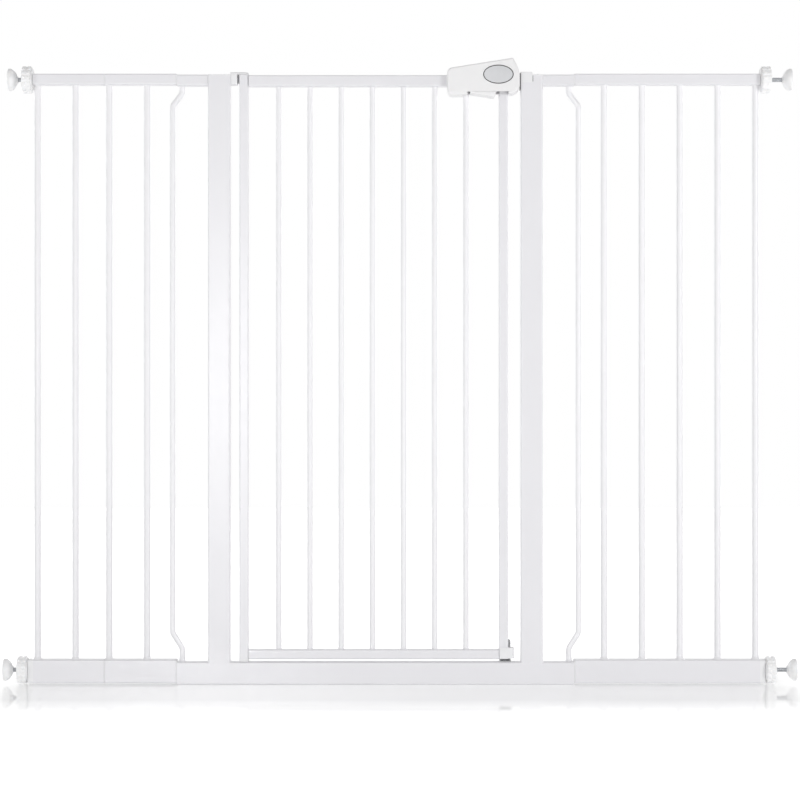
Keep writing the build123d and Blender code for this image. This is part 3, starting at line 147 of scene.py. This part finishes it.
# Studio: lamps as (place, target, width and height, watts), in metres
LAMPS = {
    "camera_side": ((-0.62, -3.6, 0.55), (-0.1, 0, 0.52), (0.6, 0.6), 17),
    "left": ((-2.4, -2.2, 0.9), (-0.2, 0, 0.5), (0.6, 2.0), 16),
    "right": ((2.4, -2.2, 0.9), (0.2, 0, 0.5), (0.6, 2.0), 32),
    "behind_left": ((-2.2, 2.8, 1.0), (-0.2, 0, 0.5), (1.0, 2.0), 26),
    "behind_right": ((2.2, 2.8, 1.0), (0.2, 0, 0.5), (1.0, 2.0), 26),
}
WORLD_LIGHT = 0.40
FLOOR_HALF = 6.0
FLOOR_TONE = 0.9
FLOOR_ROUGH = 0.06
FLOOR_GLOSS = 0.6
FLOOR_LIGHT = 0.18
FLOOR_GLOW_FAR = 0.80
FLOOR_GLOW_NEAR = 0.15
# How far from the middle the floor near the gate begins to fade, and where it has faded
FLOOR_FADE = (("X", 0.64, 0.84), ("Y", 0.2, 0.6))

# Shared by all the materials of the gate; the depths are in millimetres
NOISE_ROUGH = 0.55
RAMP_START = 0.3
RAMP_END = 0.7
CORNER_START = 0.40
CORNER_END = 0.50
CORNER_GREY_TONE = (0.72, 0.72, 0.74, 1)
PARTING_TONE = (0.35, 0.35, 0.36, 1)
GLOSS_SCALE = 9
GRAIN_DEPTH = 0.2
PEEL_DEPTH = 0.3
COAT_ROUGH = 0.18
SUBSURFACE_TINT = (1.0, 0.95, 0.9)


# Materials

def node(tree, kind, **settings):
    """Add a shader node and set its properties."""
    made = tree.nodes.new(kind)
    for key, value in settings.items():
        setattr(made, key, value)
    return made


def noise(tree, coords, scale, detail):
    """Noise between 0 and 1 at the given coordinates."""
    made = node(tree, "ShaderNodeTexNoise")
    made.inputs["Scale"].default_value = scale
    made.inputs["Detail"].default_value = detail
    made.inputs["Roughness"].default_value = NOISE_ROUGH
    tree.links.new(coords, made.inputs["Vector"])
    return made.outputs["Fac"]


def remap(tree, source, low, high, start=RAMP_START, end=RAMP_END):
    """A value that runs from low to high while the source runs from start to end."""
    made = node(tree, "ShaderNodeMapRange")
    made.inputs["From Min"].default_value = start
    made.inputs["From Max"].default_value = end
    made.inputs["To Min"].default_value = low
    made.inputs["To Max"].default_value = high
    tree.links.new(source, made.inputs["Value"])
    return made.outputs["Result"]


def multiply(tree, colour, share, tone):
    """A colour multiplied by a tone, as far as the share says."""
    made = node(tree, "ShaderNodeMixRGB", blend_type="MULTIPLY")
    made.inputs["Color2"].default_value = tone
    tree.links.new(share, made.inputs["Fac"])
    tree.links.new(colour, made.inputs["Color1"])
    return made.outputs["Color"]


def distance_from_zero(tree, split, axis):
    """How far a point lies from the middle along an axis."""
    made = node(tree, "ShaderNodeMath", operation="ABSOLUTE")
    tree.links.new(split.outputs[axis], made.inputs[0])
    return made.outputs[0]


def surface(
    name,
    tone,
    rough,
    mottle=0.012,
    mottle_scale=7.0,
    rough_spread=0.05,
    grain_scale=900.0,
    grain_bump=0.05,
    peel_scale=0.0,
    peel_bump=0.0,
    metallic=0.0,
    specular=0.5,
    coat=0.0,
    subsurface=0.0,
    subsurface_reach=0.004,
    corner_grey=0.0,
    seam=0.0,
):
    """Procedural material: mottled tone, uneven gloss, fine grain and a broader orange peel."""
    material = bpy.data.materials.new(name)
    material.use_nodes = True
    tree = material.node_tree
    shader = tree.nodes["Principled BSDF"]
    coords = node(tree, "ShaderNodeTexCoord").outputs["Object"]

    patches = noise(tree, coords, mottle_scale, detail=4.0)
    ramp = node(tree, "ShaderNodeValToRGB")
    darkest, lightest = ramp.color_ramp.elements
    darkest.position, lightest.position = RAMP_START, RAMP_END
    darkest.color = [max(c * (1 - mottle), 0) for c in tone] + [1]
    lightest.color = [min(c * (1 + mottle), 1) for c in tone] + [1]
    tree.links.new(patches, ramp.inputs["Fac"])
    colour = ramp.outputs["Color"]
    if corner_grey:
        # Slightly greyer in tight concave corners, where the mesh's pointiness is low
        pointiness = node(tree, "ShaderNodeNewGeometry").outputs["Pointiness"]
        corner = remap(tree, pointiness, corner_grey, 0.0, CORNER_START, CORNER_END)
        colour = multiply(tree, colour, corner, CORNER_GREY_TONE)
    if seam:
        # Parting line of the two shells, where Y is zero
        split = node(tree, "ShaderNodeSeparateXYZ")
        tree.links.new(coords, split.inputs["Vector"])
        off = distance_from_zero(tree, split, "Y")
        line = remap(tree, off, 1.0, 0.0, seam / 2 * MM, seam * MM)
        colour = multiply(tree, colour, line, PARTING_TONE)
    tree.links.new(colour, shader.inputs["Base Color"])

    gloss = noise(tree, coords, mottle_scale * GLOSS_SCALE, detail=5.0)
    uneven = remap(tree, gloss, rough - rough_spread, rough + rough_spread)
    tree.links.new(uneven, shader.inputs["Roughness"])

    grain = noise(tree, coords, grain_scale, detail=2.0)
    bump = node(tree, "ShaderNodeBump")
    bump.inputs["Strength"].default_value = grain_bump
    bump.inputs["Distance"].default_value = GRAIN_DEPTH * MM
    tree.links.new(grain, bump.inputs["Height"])
    if peel_scale:
        peel = noise(tree, coords, peel_scale, detail=1.0)
        broad = node(tree, "ShaderNodeBump")
        broad.inputs["Strength"].default_value = peel_bump
        broad.inputs["Distance"].default_value = PEEL_DEPTH * MM
        tree.links.new(peel, broad.inputs["Height"])
        tree.links.new(broad.outputs["Normal"], bump.inputs["Normal"])
    tree.links.new(bump.outputs["Normal"], shader.inputs["Normal"])

    shader.inputs["Metallic"].default_value = metallic
    shader.inputs["Specular IOR Level"].default_value = specular
    shader.inputs["Coat Weight"].default_value = coat
    shader.inputs["Coat Roughness"].default_value = COAT_ROUGH
    shader.inputs["Subsurface Weight"].default_value = subsurface
    shader.inputs["Subsurface Radius"].default_value = SUBSURFACE_TINT
    shader.inputs["Subsurface Scale"].default_value = subsurface_reach
    return material


LOOKS = {
    "white_powder_coat": surface(
        "white_powder_coat", (0.785, 0.78, 0.805), 0.31, rough_spread=0.015, grain_bump=0.03,
        peel_scale=340.0, peel_bump=0.04, specular=0.9, corner_grey=0.4
    ),
    "white_fitting_plastic": surface(
        "white_fitting_plastic", (0.83, 0.83, 0.84), 0.46, grain_scale=1500.0, grain_bump=0.10,
        subsurface=0.04, subsurface_reach=0.002, corner_grey=0.4
    ),
    "white_latch_plastic": surface(
        "white_latch_plastic", (0.86, 0.855, 0.86), 0.40, grain_scale=1800.0, grain_bump=0.09,
        subsurface=0.05, subsurface_reach=0.002, corner_grey=0.4, seam=0.25
    ),
    "milky_plastic": surface(
        "milky_plastic", (0.90, 0.90, 0.905), 0.34, mottle=0.02, mottle_scale=40.0,
        grain_scale=1200.0, grain_bump=0.05, subsurface=0.25, subsurface_reach=0.003, corner_grey=0.5
    ),
    "zinc_steel": surface(
        "zinc_steel", (0.40, 0.41, 0.43), 0.27, mottle=0.14, mottle_scale=120.0,
        grain_scale=2600.0, grain_bump=0.08, metallic=1.0, rough_spread=0.10
    ),
    "dark_steel": surface(
        "dark_steel", (0.36, 0.362, 0.37), 0.42, mottle=0.18, mottle_scale=160.0,
        grain_scale=2200.0, grain_bump=0.10, metallic=0.6
    ),
    "badge_silver": surface(
        "badge_silver", (0.60, 0.605, 0.62), 0.34, mottle=0.03, mottle_scale=60.0,
        grain_scale=1500.0, grain_bump=0.03, metallic=0.35, coat=0.2
    ),
    "dark_nylon": surface(
        "dark_nylon", (0.035, 0.035, 0.038), 0.48, mottle=0.10, mottle_scale=90.0,
        grain_scale=1500.0, grain_bump=0.08
    ),
}

# A lighter copy of the same white powder coat for the round bars: painted light, standing in for
# the round bars looking a little whiter than the square tubes
BAR_COAT_PAINTED_LIGHT = surface(
    "white_powder_coat_bars_painted_light", (0.85, 0.845, 0.865), 0.29, rough_spread=0.015, grain_bump=0.03,
    peel_scale=340.0, peel_bump=0.03, specular=0.9, corner_grey=0.3
)

for row in frame["record"]["subparts"]:
    thing = NODES[row["node"]]
    thing.data.materials.clear()
    round_bars = row["node"].endswith(("_bars", "_bent_bar"))
    # The round bars take the lighter copy of the coat, which is painted light
    thing.data.materials.append(BAR_COAT_PAINTED_LIGHT if round_bars else LOOKS[row["material_slot"]])


# Pieces

def piece(name, bm, body, slot, crease=38.0):
    """Turn a bmesh in the shared frame into an object that rides on a body."""
    bmesh.ops.recalc_face_normals(bm, faces=bm.faces[:])
    for edge in bm.edges:
        edge.smooth = edge.calc_face_angle(0.0) < math.radians(crease)
    mesh = bpy.data.meshes.new(name)
    bm.to_mesh(mesh)
    bm.free()
    for face in mesh.polygons:
        face.use_smooth = True
    made = bpy.data.objects.new(name, mesh)
    bpy.context.scene.collection.objects.link(made)
    made.data.materials.append(LOOKS[slot])
    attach(made, body)
    return made


def around_circle(count):
    """Angles at equal steps once round a circle."""
    return [2 * math.pi * step / count for step in range(count)]


def bridge(bm, first, second):
    """Faces between two closed rings of points; a ring of one point makes a fan."""
    count = max(len(first), len(second))
    for step in range(count):
        after = (step + 1) % count
        corners = [first[step % len(first)], first[after % len(first)]]
        corners += [second[after % len(second)], second[step % len(second)]]
        bm.faces.new(list(dict.fromkeys(corners)))


def skin(bm, rings, closed=False, ends=False):
    """Faces from ring to ring, back to the first ring if closed, or with both ends shut."""
    for first, second in zip(rings, rings[1:]):
        bridge(bm, first, second)
    if closed:
        bridge(bm, rings[-1], rings[0])
    if ends:
        bm.faces.new(rings[0])
        bm.faces.new(rings[-1])


def lathe(bm, place, axis, profile, around=48):
    """Turn a profile of (along, radius) about an axis; returns the rings."""
    axis = Vector(axis).normalized()
    side = axis.orthogonal().normalized()
    up = axis.cross(side)
    rings = []
    for along, radius in profile:
        centre = Vector(place) + axis * along
        if radius == 0:
            rings.append([bm.verts.new(centre)])
            continue
        ring = []
        for angle in around_circle(around):
            out = side * math.cos(angle) + up * math.sin(angle)
            ring.append(bm.verts.new(centre + out * radius))
        rings.append(ring)
    skin(bm, rings)
    return rings


def loose_boxes(name):
    """Low and high corners of every separate solid of a node, from left to right."""
    bm = bmesh.new()
    bm.from_mesh(NODES[name].data)
    bmesh.ops.remove_doubles(bm, verts=bm.verts, dist=0.001 * MM)
    left = set(bm.verts)
    boxes = []
    while left:
        island = {left.pop()}
        to_visit = list(island)
        while to_visit:
            vert = to_visit.pop()
            for edge in vert.link_edges:
                other = edge.other_vert(vert)
                if other in left:
                    left.discard(other)
                    island.add(other)
                    to_visit.append(other)
        low = Vector(min(v.co[i] for v in island) for i in range(3))
        high = Vector(max(v.co[i] for v in island) for i in range(3))
        boxes.append((low, high))
    bm.free()
    return sorted(boxes, key=lambda box: tuple(box[0]))


def arc(centre, radius, start, end, steps):
    """Points on an arc in a plane; angles in degrees from the plane's first direction."""
    points = []
    for step in range(steps + 1):
        angle = math.radians(start + (end - start) * step / steps)
        first = centre[0] + radius * math.cos(angle)
        second = centre[1] + radius * math.sin(angle)
        points.append((first, second))
    return points


# Threaded spindles

def threaded_rod(corner):
    """The spindle with its thread, as one surface between the CAD rod's ends."""
    low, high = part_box(f"{corner}_spindle")
    length = high[0] - low[0]
    z = (low[2] + high[2]) / 2
    crest = (high[2] - low[2]) / 2
    root = crest - THREAD_DEPTH * MM
    tip = crest - THREAD_LEAD_IN * MM
    pitch = THREAD_PITCH * MM
    rows = int(length / (pitch / THREAD_ROWS))
    bm = bmesh.new()
    rings = []
    for row in range(rows + 1):
        along = length * row / rows
        taper = min(1.0, min(along, length - along) / (THREAD_LEAD_IN * MM))
        ring = []
        for angle in around_circle(THREAD_SIDES):
            phase = (along / pitch - angle / (2 * math.pi)) % 1.0
            # Sloped flanks between a flat crest and a flat root
            ridge = max(0.0, min(1.0, 1.6 - 4.4 * abs(phase - 0.5)))
            radius = tip + (root + (crest - root) * ridge - tip) * taper
            y, rise = radius * math.cos(angle), radius * math.sin(angle)
            ring.append(bm.verts.new((low[0] + along, y, z + rise)))
        rings.append(ring)
    skin(bm, rings, ends=True)
    made = piece(f"{corner}_thread", bm, f"{corner}_screw", "zinc_steel", crease=60.0)
    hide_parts(f"{corner}_spindle")


# Wall cups with a ridged pad face

def ridged_cup(corner):
    """The cup with a groove round its lip and rings of grooves in its pad."""
    low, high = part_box(f"{corner}_cup")
    outward = -1 if corner.startswith("left") else 1
    neck_x = high[0] if outward < 0 else low[0]
    length = high[0] - low[0]
    rim = (high[2] - low[2]) / 2
    z = (low[2] + high[2]) / 2
    neck, collar, edge = CUP_NECK_R * MM, CUP_COLLAR * MM, CUP_EDGE * MM
    lip_start = length - CUP_LIP * MM

    # The flank bulges outwards, on an arc with the rim's radius
    chord = Vector((lip_start - collar, rim - neck))
    middle = Vector((collar, neck)) + chord / 2
    square = Vector((chord.y, -chord.x)).normalized()
    centre = middle + square * math.sqrt(rim**2 - (chord.length / 2) ** 2)
    start = math.degrees(math.atan2(neck - centre.y, collar - centre.x))
    end = math.degrees(math.atan2(rim - centre.y, lip_start - centre.x))

    socket_end, socket_r = collar + CUP_SOCKET * MM, CUP_SOCKET_R * MM
    profile = [(socket_end, 0), (socket_end, socket_r), (0, socket_r)]
    profile += [(0, neck - CUP_NECK_EDGE * MM), (CUP_NECK_EDGE * MM, neck)]
    profile += arc(centre, rim, start % 360, end % 360, steps=14)
    profile += [(lip_start + along * MM, rim - inset * MM) for along, inset in LIP_GROOVE]
    profile += arc((length - edge, rim - edge), edge, 90, 0, steps=5)
    for outer in PAD_GROOVE_R:
        profile += [(length - depth * MM, (outer - inset) * MM) for depth, inset in PAD_GROOVE]
    dimple_floor = length - PAD_DIMPLE * MM
    profile += [(length, PAD_DIMPLE_R * MM)]
    profile += [(dimple_floor, PAD_DIMPLE_FLOOR_R * MM), (dimple_floor, 0)]
    bm = bmesh.new()
    lathe(bm, (neck_x, 0, z), (outward, 0, 0), profile, around=56)
    made = piece(f"{corner}_pad", bm, f"{corner}_screw", "milky_plastic")
    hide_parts(f"{corner}_cup")


for corner in CORNERS:
    threaded_rod(corner)
    ridged_cup(corner)


# Screws and rivets

def cross_screw(bm, seat, axis, head_r, head_h, shank_r, shank):
    """Pan-head screw with a cross recess; seat is the middle of the underside of its head."""
    axis = Vector(axis).normalized()
    flat = HEAD_FLAT * head_r
    round_h = HEAD_ROUND * head_h
    point = SCREW_POINT * shank_r
    profile = [(-shank, 0), (-shank, point), (-shank + point, shank_r), (0, shank_r)]
    profile += [(0, head_r), (head_h - round_h, head_r)]
    for step in range(1, HEAD_STEPS + 1):
        angle = math.radians(90 * step / HEAD_STEPS)
        profile.append((
            head_h - round_h + round_h * math.sin(angle),
            flat + (head_r - flat) * math.cos(angle),
        ))
    rings = lathe(bm, seat, axis, profile, around=36)
    side = axis.orthogonal().normalized()
    up = axis.cross(side)
    top = Vector(seat) + axis * head_h
    arm, reach = CROSS_ARM * flat, CROSS_REACH * head_r
    outline = [(reach, -arm), (reach, arm), (arm, arm), (arm, reach), (-arm, reach), (-arm, arm)]
    outline += [(-x, -y) for x, y in outline]
    upper = [bm.verts.new(top + side * x + up * y) for x, y in outline]
    bottom = top - axis * CROSS_DEPTH * head_h
    lower = [bm.verts.new(bottom + (side * x + up * y) * CROSS_TAPER) for x, y in outline]
    edges = []
    for ring in (rings[-1], upper):
        for first, second in zip(ring, ring[1:] + ring[:1]):
            edges.append(bm.edges.get((first, second)) or bm.edges.new((first, second)))
    bmesh.ops.triangle_fill(bm, edges=edges, use_beauty=True, normal=axis)
    bridge(bm, upper, lower)
    bm.faces.new(lower)


def bracket_screws():
    """The screws of the upper hinge bracket."""
    low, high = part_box("hinge_bracket_screws")
    head_r = (high[1] - low[1]) / 2
    head_h = BRACKET_SCREW_HEAD * MM
    shank = high[0] - low[0] - head_h
    bm = bmesh.new()
    for z in (low[2] + head_r, high[2] - head_r):
        seat = (high[0] - head_h, 0, z)
        cross_screw(bm, seat, (1, 0, 0), head_r, head_h, SCREW_R * MM, shank)
    made = piece("bracket_cross_screws", bm, "frame", "zinc_steel")
    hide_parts("hinge_bracket_screws")


def striker_cross_screw():
    """The screw on top of the striker."""
    low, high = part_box("striker_screw")
    head_r = (high[0] - low[0]) / 2
    head_h = STRIKER_SCREW_HEAD * MM
    shank = high[2] - low[2] - head_h
    bm = bmesh.new()
    seat = ((low[0] + high[0]) / 2, 0, high[2] - head_h)
    cross_screw(bm, seat, (0, 0, 1), head_r, head_h, SCREW_R * MM, shank)
    made = piece("striker_cross_screw", bm, "frame", "zinc_steel")
    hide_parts("striker_screw")


def latch_cross_screws():
    """The screws that hold the latch shells together, from behind."""
    head_h = LATCH_SCREW_HEAD * MM
    bm = bmesh.new()
    for low, high in loose_boxes("latch_screws"):
        head_r = (high[0] - low[0]) / 2
        shank = high[1] - low[1] - head_h
        seat = ((low[0] + high[0]) / 2, high[1] - head_h, (low[2] + high[2]) / 2)
        cross_screw(bm, seat, (0, 1, 0), head_r, head_h, LATCH_SCREW_R * MM, shank)
    made = piece("latch_cross_screws", bm, "door", "zinc_steel")
    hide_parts("latch_screws")


def stop_rivets():
    """The rivets that hold the stop plate, with domed heads."""
    low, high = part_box("stop_plate_rivets")
    head_r = (high[1] - low[1]) / 2
    head_h = RIVET_HEAD * MM
    shank_r = RIVET_R * MM
    length = high[2] - low[2]
    y = (low[1] + high[1]) / 2
    bm = bmesh.new()
    for x in (low[0] + head_r, high[0] - head_r):
        profile = [(0, 0), (0, shank_r), (length - head_h, shank_r), (length - head_h, head_r)]
        for step in range(1, RIVET_STEPS):
            angle = math.radians(90 * step / RIVET_STEPS)
            profile.append((length - head_h * (1 - math.sin(angle)), head_r * math.cos(angle)))
        profile.append((length, 0))
        lathe(bm, (x, y, low[2]), (0, 0, 1), profile, around=32)
    made = piece("stop_domed_rivets", bm, "frame", "zinc_steel")
    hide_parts("stop_plate_rivets")


bracket_screws()
striker_cross_screw()
latch_cross_screws()
stop_rivets()


# Weld beads

def sway(place, scale):
    """A repeatable unevenness between -1 and 1 along a weld."""
    return 0.6 * math.sin(place * scale) + 0.4 * math.sin(place * scale * 2.37 + 1.3)


def ring_weld(bm, place, axis, phase):
    """Bead where a round bar meets a flat face; axis points along the bar, away from the face."""
    axis = Vector(axis)
    side = axis.orthogonal().normalized()
    up = axis.cross(side)
    radius, sink = ROUND_BAR_R * MM, WELD_SINK * MM
    sections = []
    for angle in around_circle(RING_WELD_SIDES):
        bead = WELD * MM * (1 + WELD_SWAY * sway(angle, 5.0 + phase % 3))
        shape = [(-sink, radius - sink), (-sink, radius + bead)]
        shape += [(h * bead, radius + r * bead) for h, r in RING_WELD_FACE]
        shape += [(bead, radius - sink)]
        out = side * math.cos(angle) + up * math.sin(angle)
        sections.append([bm.verts.new(Vector(place) + axis * h + out * r) for h, r in shape])
    skin(bm, sections, closed=True)


def line_weld(bm, start, end, out_a, out_b, phase):
    """Bead along an inside corner between two faces that point out_a and out_b."""
    start, end, out_a, out_b = Vector(start), Vector(end), Vector(out_a), Vector(out_b)
    length = (end - start).length
    count = max(4, int(length / (WELD_STEP * MM)))
    sink = WELD_SINK * MM
    sections = []
    for step in range(count + 1):
        along = step / count
        taper = min(1.0, WELD_END + WELD_GROWTH * min(along, 1 - along))
        bead = WELD * MM * taper * (1 + WELD_SWAY * sway(along * length / MM + phase, 1.7))
        shape = [(-sink, -sink), (bead, -sink)]
        shape += [(a * bead, b * bead) for a, b in LINE_WELD_FACE]
        shape += [(-sink, bead)]
        origin = start.lerp(end, along)
        sections.append([bm.verts.new(origin + out_a * a + out_b * b) for a, b in shape])
    skin(bm, sections, ends=True)


def door_welds():
    """Beads at both ends of the door's bars and where its rails meet the stiles."""
    bm = bmesh.new()
    for index, (low, high) in enumerate(loose_boxes("door_bars")):
        x = (low[0] + high[0]) / 2
        ring_weld(bm, (x, 0, low[2]), (0, 0, 1), index)
        ring_weld(bm, (x, 0, high[2]), (0, 0, -1), index + 0.5)
    reach = DOOR_RAIL_WELD * MM
    for rail, edge, up in (("door_top_rail", 0, -1), ("door_bottom_rail", 1, 1)):
        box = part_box(rail)
        z = box[edge][2]
        for end, inward in ((0, 1), (1, -1)):
            x = box[end][0]
            line_weld(bm, (x, -reach, z), (x, reach, z), (inward, 0, 0), (0, 0, up), end)
    piece("door_welds", bm, "door", "white_powder_coat")


def frame_welds():
    """Beads on the bent bars and where the stubs and the base rail meet the posts."""
    bm = bmesh.new()
    bar_r, flat, reach = ROUND_BAR_R * MM, STUB_WELD * MM, POST_WELD * MM
    base_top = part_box("base_rail")[1][2]
    for side, post, bar, stub in (
        (-1, "hinge_post", "left_bent_bar", "left_top_stub"),
        (1, "latch_post", "right_bent_bar", "right_top_stub"),
    ):
        bar_low, bar_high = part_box(bar)
        x = bar_high[0] - bar_r if side < 0 else bar_low[0] + bar_r
        ring_weld(bm, (x, 0, bar_low[2]), (0, 0, 1), side)
        ring_weld(bm, (x, 0, bar_high[2]), (0, 0, -1), side + 0.5)

        post_low, post_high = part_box(post)
        x = post_low[0] if side < 0 else post_high[0]
        out = (side, 0, 0)
        stub_low, stub_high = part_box(stub)
        z = stub_low[2]
        line_weld(bm, (x, -flat, z), (x, flat, z), out, (0, 0, -1), 1)
        z = (stub_low[2] + stub_high[2]) / 2
        for face, y in ((-1, stub_low[1]), (1, stub_high[1])):
            line_weld(bm, (x, y, z - flat), (x, y, z + flat), out, (0, face, 0), 2 + face)

        z = base_top
        for x, away in ((post_low[0], -1), (post_high[0], 1)):
            line_weld(bm, (x, -reach, z), (x, reach, z), (away, 0, 0), (0, 0, 1), 4 + away)
    piece("frame_welds", bm, "frame", "white_powder_coat")


door_welds()
frame_welds()


# Latch details

def ellipse_rings(bm, centre, half, profile, around=72):
    """Rings of an oval plate that faces -Y; profile gives (inset from the edge, y)."""
    rings = []
    for inset, y in profile:
        ring = []
        for angle in around_circle(around):
            x = centre[0] + (half[0] - inset) * math.cos(angle)
            z = centre[1] + (half[1] - inset) * math.sin(angle)
            ring.append(bm.verts.new((x, y, z)))
        rings.append(ring)
    return rings


def badge():
    """Bare oval plate: a dark raised rim round a plain silver field."""
    low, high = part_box("badge_plate")
    centre = ((low[0] + high[0]) / 2, (low[2] + high[2]) / 2)
    half = ((high[0] - low[0]) / 2, (high[2] - low[2]) / 2)
    front, back = low[1], high[1]
    rim = BADGE_RIM * MM

    edge = [(inset * MM, front + depth * MM) for inset, depth in BADGE_RIM_EDGE]
    profile = [(0, back)] + edge
    profile += [(rim - inset, y) for inset, y in reversed(edge)] + [(rim, back)]
    bm = bmesh.new()
    skin(bm, ellipse_rings(bm, centre, half, profile), closed=True)
    made = piece("badge_rim", bm, "door", "dark_nylon")
    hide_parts("badge_plate")

    profile = [(rim, back), (rim, front + BADGE_FIELD_DEPTH * MM)]
    for step in range(1, BADGE_STEPS + 1):
        share = step / BADGE_STEPS
        depth = BADGE_FIELD_DEPTH - BADGE_CROWN * math.sin(share * math.pi / 2)
        profile.append((rim + share * (half[1] - rim - BADGE_FLAT * MM), front + depth * MM))
    bm = bmesh.new()
    skin(bm, ellipse_rings(bm, centre, half, profile), ends=True)
    made = piece("badge_field", bm, "door", "badge_silver")
    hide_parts("badge_plate")


def seam_shade_strips():
    """Dark strip in the seam beside the striker, on the front and the back of the latch post:
    painted shade, put where the seam is only shaded.
    """
    low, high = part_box("latch_post")
    x = low[0] + (STRIKER_WIDTH + STRIKER_SEAM / 2) * MM
    half_width = STRIP_HALF_WIDTH * MM
    top = high[2] - STRIP_DROP * MM - half_width
    bottom = top - STRIP_LENGTH * MM + 2 * half_width
    bm = bmesh.new()
    for face, inward in ((low[1], 1), (high[1], -1)):
        rings = []
        for depth, inset in STRIP_SECTION:
            y = face + inward * depth * MM
            reach = half_width - inset * MM
            outline = arc((x, top), reach, 0, 180, STRIP_END_STEPS)
            outline += arc((x, bottom), reach, 180, 360, STRIP_END_STEPS)
            rings.append([bm.verts.new((across, y, up)) for across, up in outline])
        skin(bm, rings, ends=True)
    piece("striker_seam_shade_strips", bm, "frame", "dark_nylon")


def latch_spring():
    """Return spring of the bolt, coiled over the length of the CAD spring."""
    low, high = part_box("bolt_spring")
    length = high[0] - low[0]
    y, z = (low[1] + high[1]) / 2, (low[2] + high[2]) / 2
    wire = SPRING_WIRE / 2 * MM
    coil = (high[1] - low[1]) / 2 - wire
    rise = (length - 2 * wire) / (2 * math.pi * SPRING_TURNS)
    bm = bmesh.new()
    rings = []
    for step in range(SPRING_STEPS * SPRING_TURNS + 1):
        angle = 2 * math.pi * step / SPRING_STEPS
        out = Vector((0, math.cos(angle), math.sin(angle)))
        along = Vector((rise, -coil * math.sin(angle), coil * math.cos(angle))).normalized()
        across = along.cross(out)
        middle = Vector((low[0] + wire + rise * angle, y, z)) + out * coil
        ring = []
        for turn in around_circle(SPRING_WIRE_SIDES):
            offset = (out * math.cos(turn) + across * math.sin(turn)) * wire
            ring.append(bm.verts.new(middle + offset))
        rings.append(ring)
    skin(bm, rings, ends=True)
    made = piece("latch_spring", bm, "door", "zinc_steel", crease=60.0)
    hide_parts("bolt_spring")
    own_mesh(made)


badge()
seam_shade_strips()
latch_spring()


# Studio

def area_light(name, place, target, size, power):
    """Rectangular lamp turned towards its target."""
    data = bpy.data.lights.new(name, "AREA")
    data.shape = "RECTANGLE"
    data.size, data.size_y = size
    data.energy = power
    lamp = bpy.data.objects.new(name, data)
    lamp.location = place
    lamp.rotation_euler = (Vector(target) - Vector(place)).to_track_quat("-Z", "Y").to_euler()
    bpy.context.scene.collection.objects.link(lamp)


def background_rays(tree):
    """1 for the rays that show the background: from the camera, off gloss and through glass."""
    path = node(tree, "ShaderNodeLightPath")
    seen = path.outputs["Is Camera Ray"]
    for kind in ("Is Glossy Ray", "Is Transmission Ray"):
        either = node(tree, "ShaderNodeMath", operation="MAXIMUM")
        tree.links.new(seen, either.inputs[0])
        tree.links.new(path.outputs[kind], either.inputs[1])
        seen = either.outputs[0]
    return seen


def backdrop():
    """World that looks white and lights the gate at a plain level."""
    world = bpy.data.worlds.new("studio")
    bpy.context.scene.world = world
    world.use_nodes = True
    tree = world.node_tree
    background = tree.nodes["Background"]
    background.inputs["Color"].default_value = (1, 1, 1, 1)
    strength = remap(tree, background_rays(tree), WORLD_LIGHT, 1.0, 0.0, 1.0)
    tree.links.new(strength, background.inputs["Strength"])


def floor():
    """White floor that shows the gate's shadow everywhere and a soft reflection close to it."""
    bm = bmesh.new()
    bmesh.ops.create_grid(bm, x_segments=2, y_segments=2, size=FLOOR_HALF)
    mesh = bpy.data.meshes.new("floor")
    bm.to_mesh(mesh)
    bm.free()
    made = bpy.data.objects.new("floor", mesh)
    bpy.context.scene.collection.objects.link(made)
    material = bpy.data.materials.new("floor")
    material.use_nodes = True
    tree = material.node_tree
    shader = tree.nodes["Principled BSDF"]
    shader.inputs["Base Color"].default_value = (FLOOR_TONE, FLOOR_TONE, FLOOR_TONE, 1)
    shader.inputs["Roughness"].default_value = FLOOR_ROUGH
    shader.inputs["Emission Color"].default_value = (1, 1, 1, 1)

    # 1 under and close to the gate, 0 further off
    split = node(tree, "ShaderNodeSeparateXYZ")
    tree.links.new(node(tree, "ShaderNodeTexCoord").outputs["Object"], split.inputs["Vector"])
    product = node(tree, "ShaderNodeMath", operation="MULTIPLY")
    for socket, (axis, start, end) in enumerate(FLOOR_FADE):
        away = distance_from_zero(tree, split, axis)
        tree.links.new(remap(tree, away, 1.0, 0.0, start, end), product.inputs[socket])
    near = product.outputs[0]

    gloss = remap(tree, near, 0.0, FLOOR_GLOSS, 0.0, 1.0)
    tree.links.new(gloss, shader.inputs["Specular IOR Level"])
    glow = node(tree, "ShaderNodeMixRGB")
    glow.inputs["Color1"].default_value = (FLOOR_LIGHT, FLOOR_LIGHT, FLOOR_LIGHT, 1)
    seen = remap(tree, near, FLOOR_GLOW_FAR, FLOOR_GLOW_NEAR, 0.0, 1.0)
    tree.links.new(seen, glow.inputs["Color2"])
    tree.links.new(background_rays(tree), glow.inputs["Fac"])
    tree.links.new(glow.outputs["Color"], shader.inputs["Emission Strength"])
    made.data.materials.append(material)


def photo_camera():
    """Camera at the photograph's place, looking level along +Y."""
    data = bpy.data.cameras.new("camera")
    data.lens = CAMERA_LENS
    data.sensor_width = SENSOR
    data.sensor_fit = "HORIZONTAL"
    data.clip_end = CAMERA_REACH
    made = bpy.data.objects.new("camera", data)
    made.location = (0.0, -CAMERA_DISTANCE, CAMERA_HEIGHT)
    made.rotation_euler = (math.pi / 2, 0, 0)
    bpy.context.scene.collection.objects.link(made)
    bpy.context.scene.camera = made


for name, (place, target, size, power) in LAMPS.items():
    area_light(name, place, target, size, power)
backdrop()
floor()
photo_camera()
bpy.context.scene.view_settings.view_transform = "Standard"
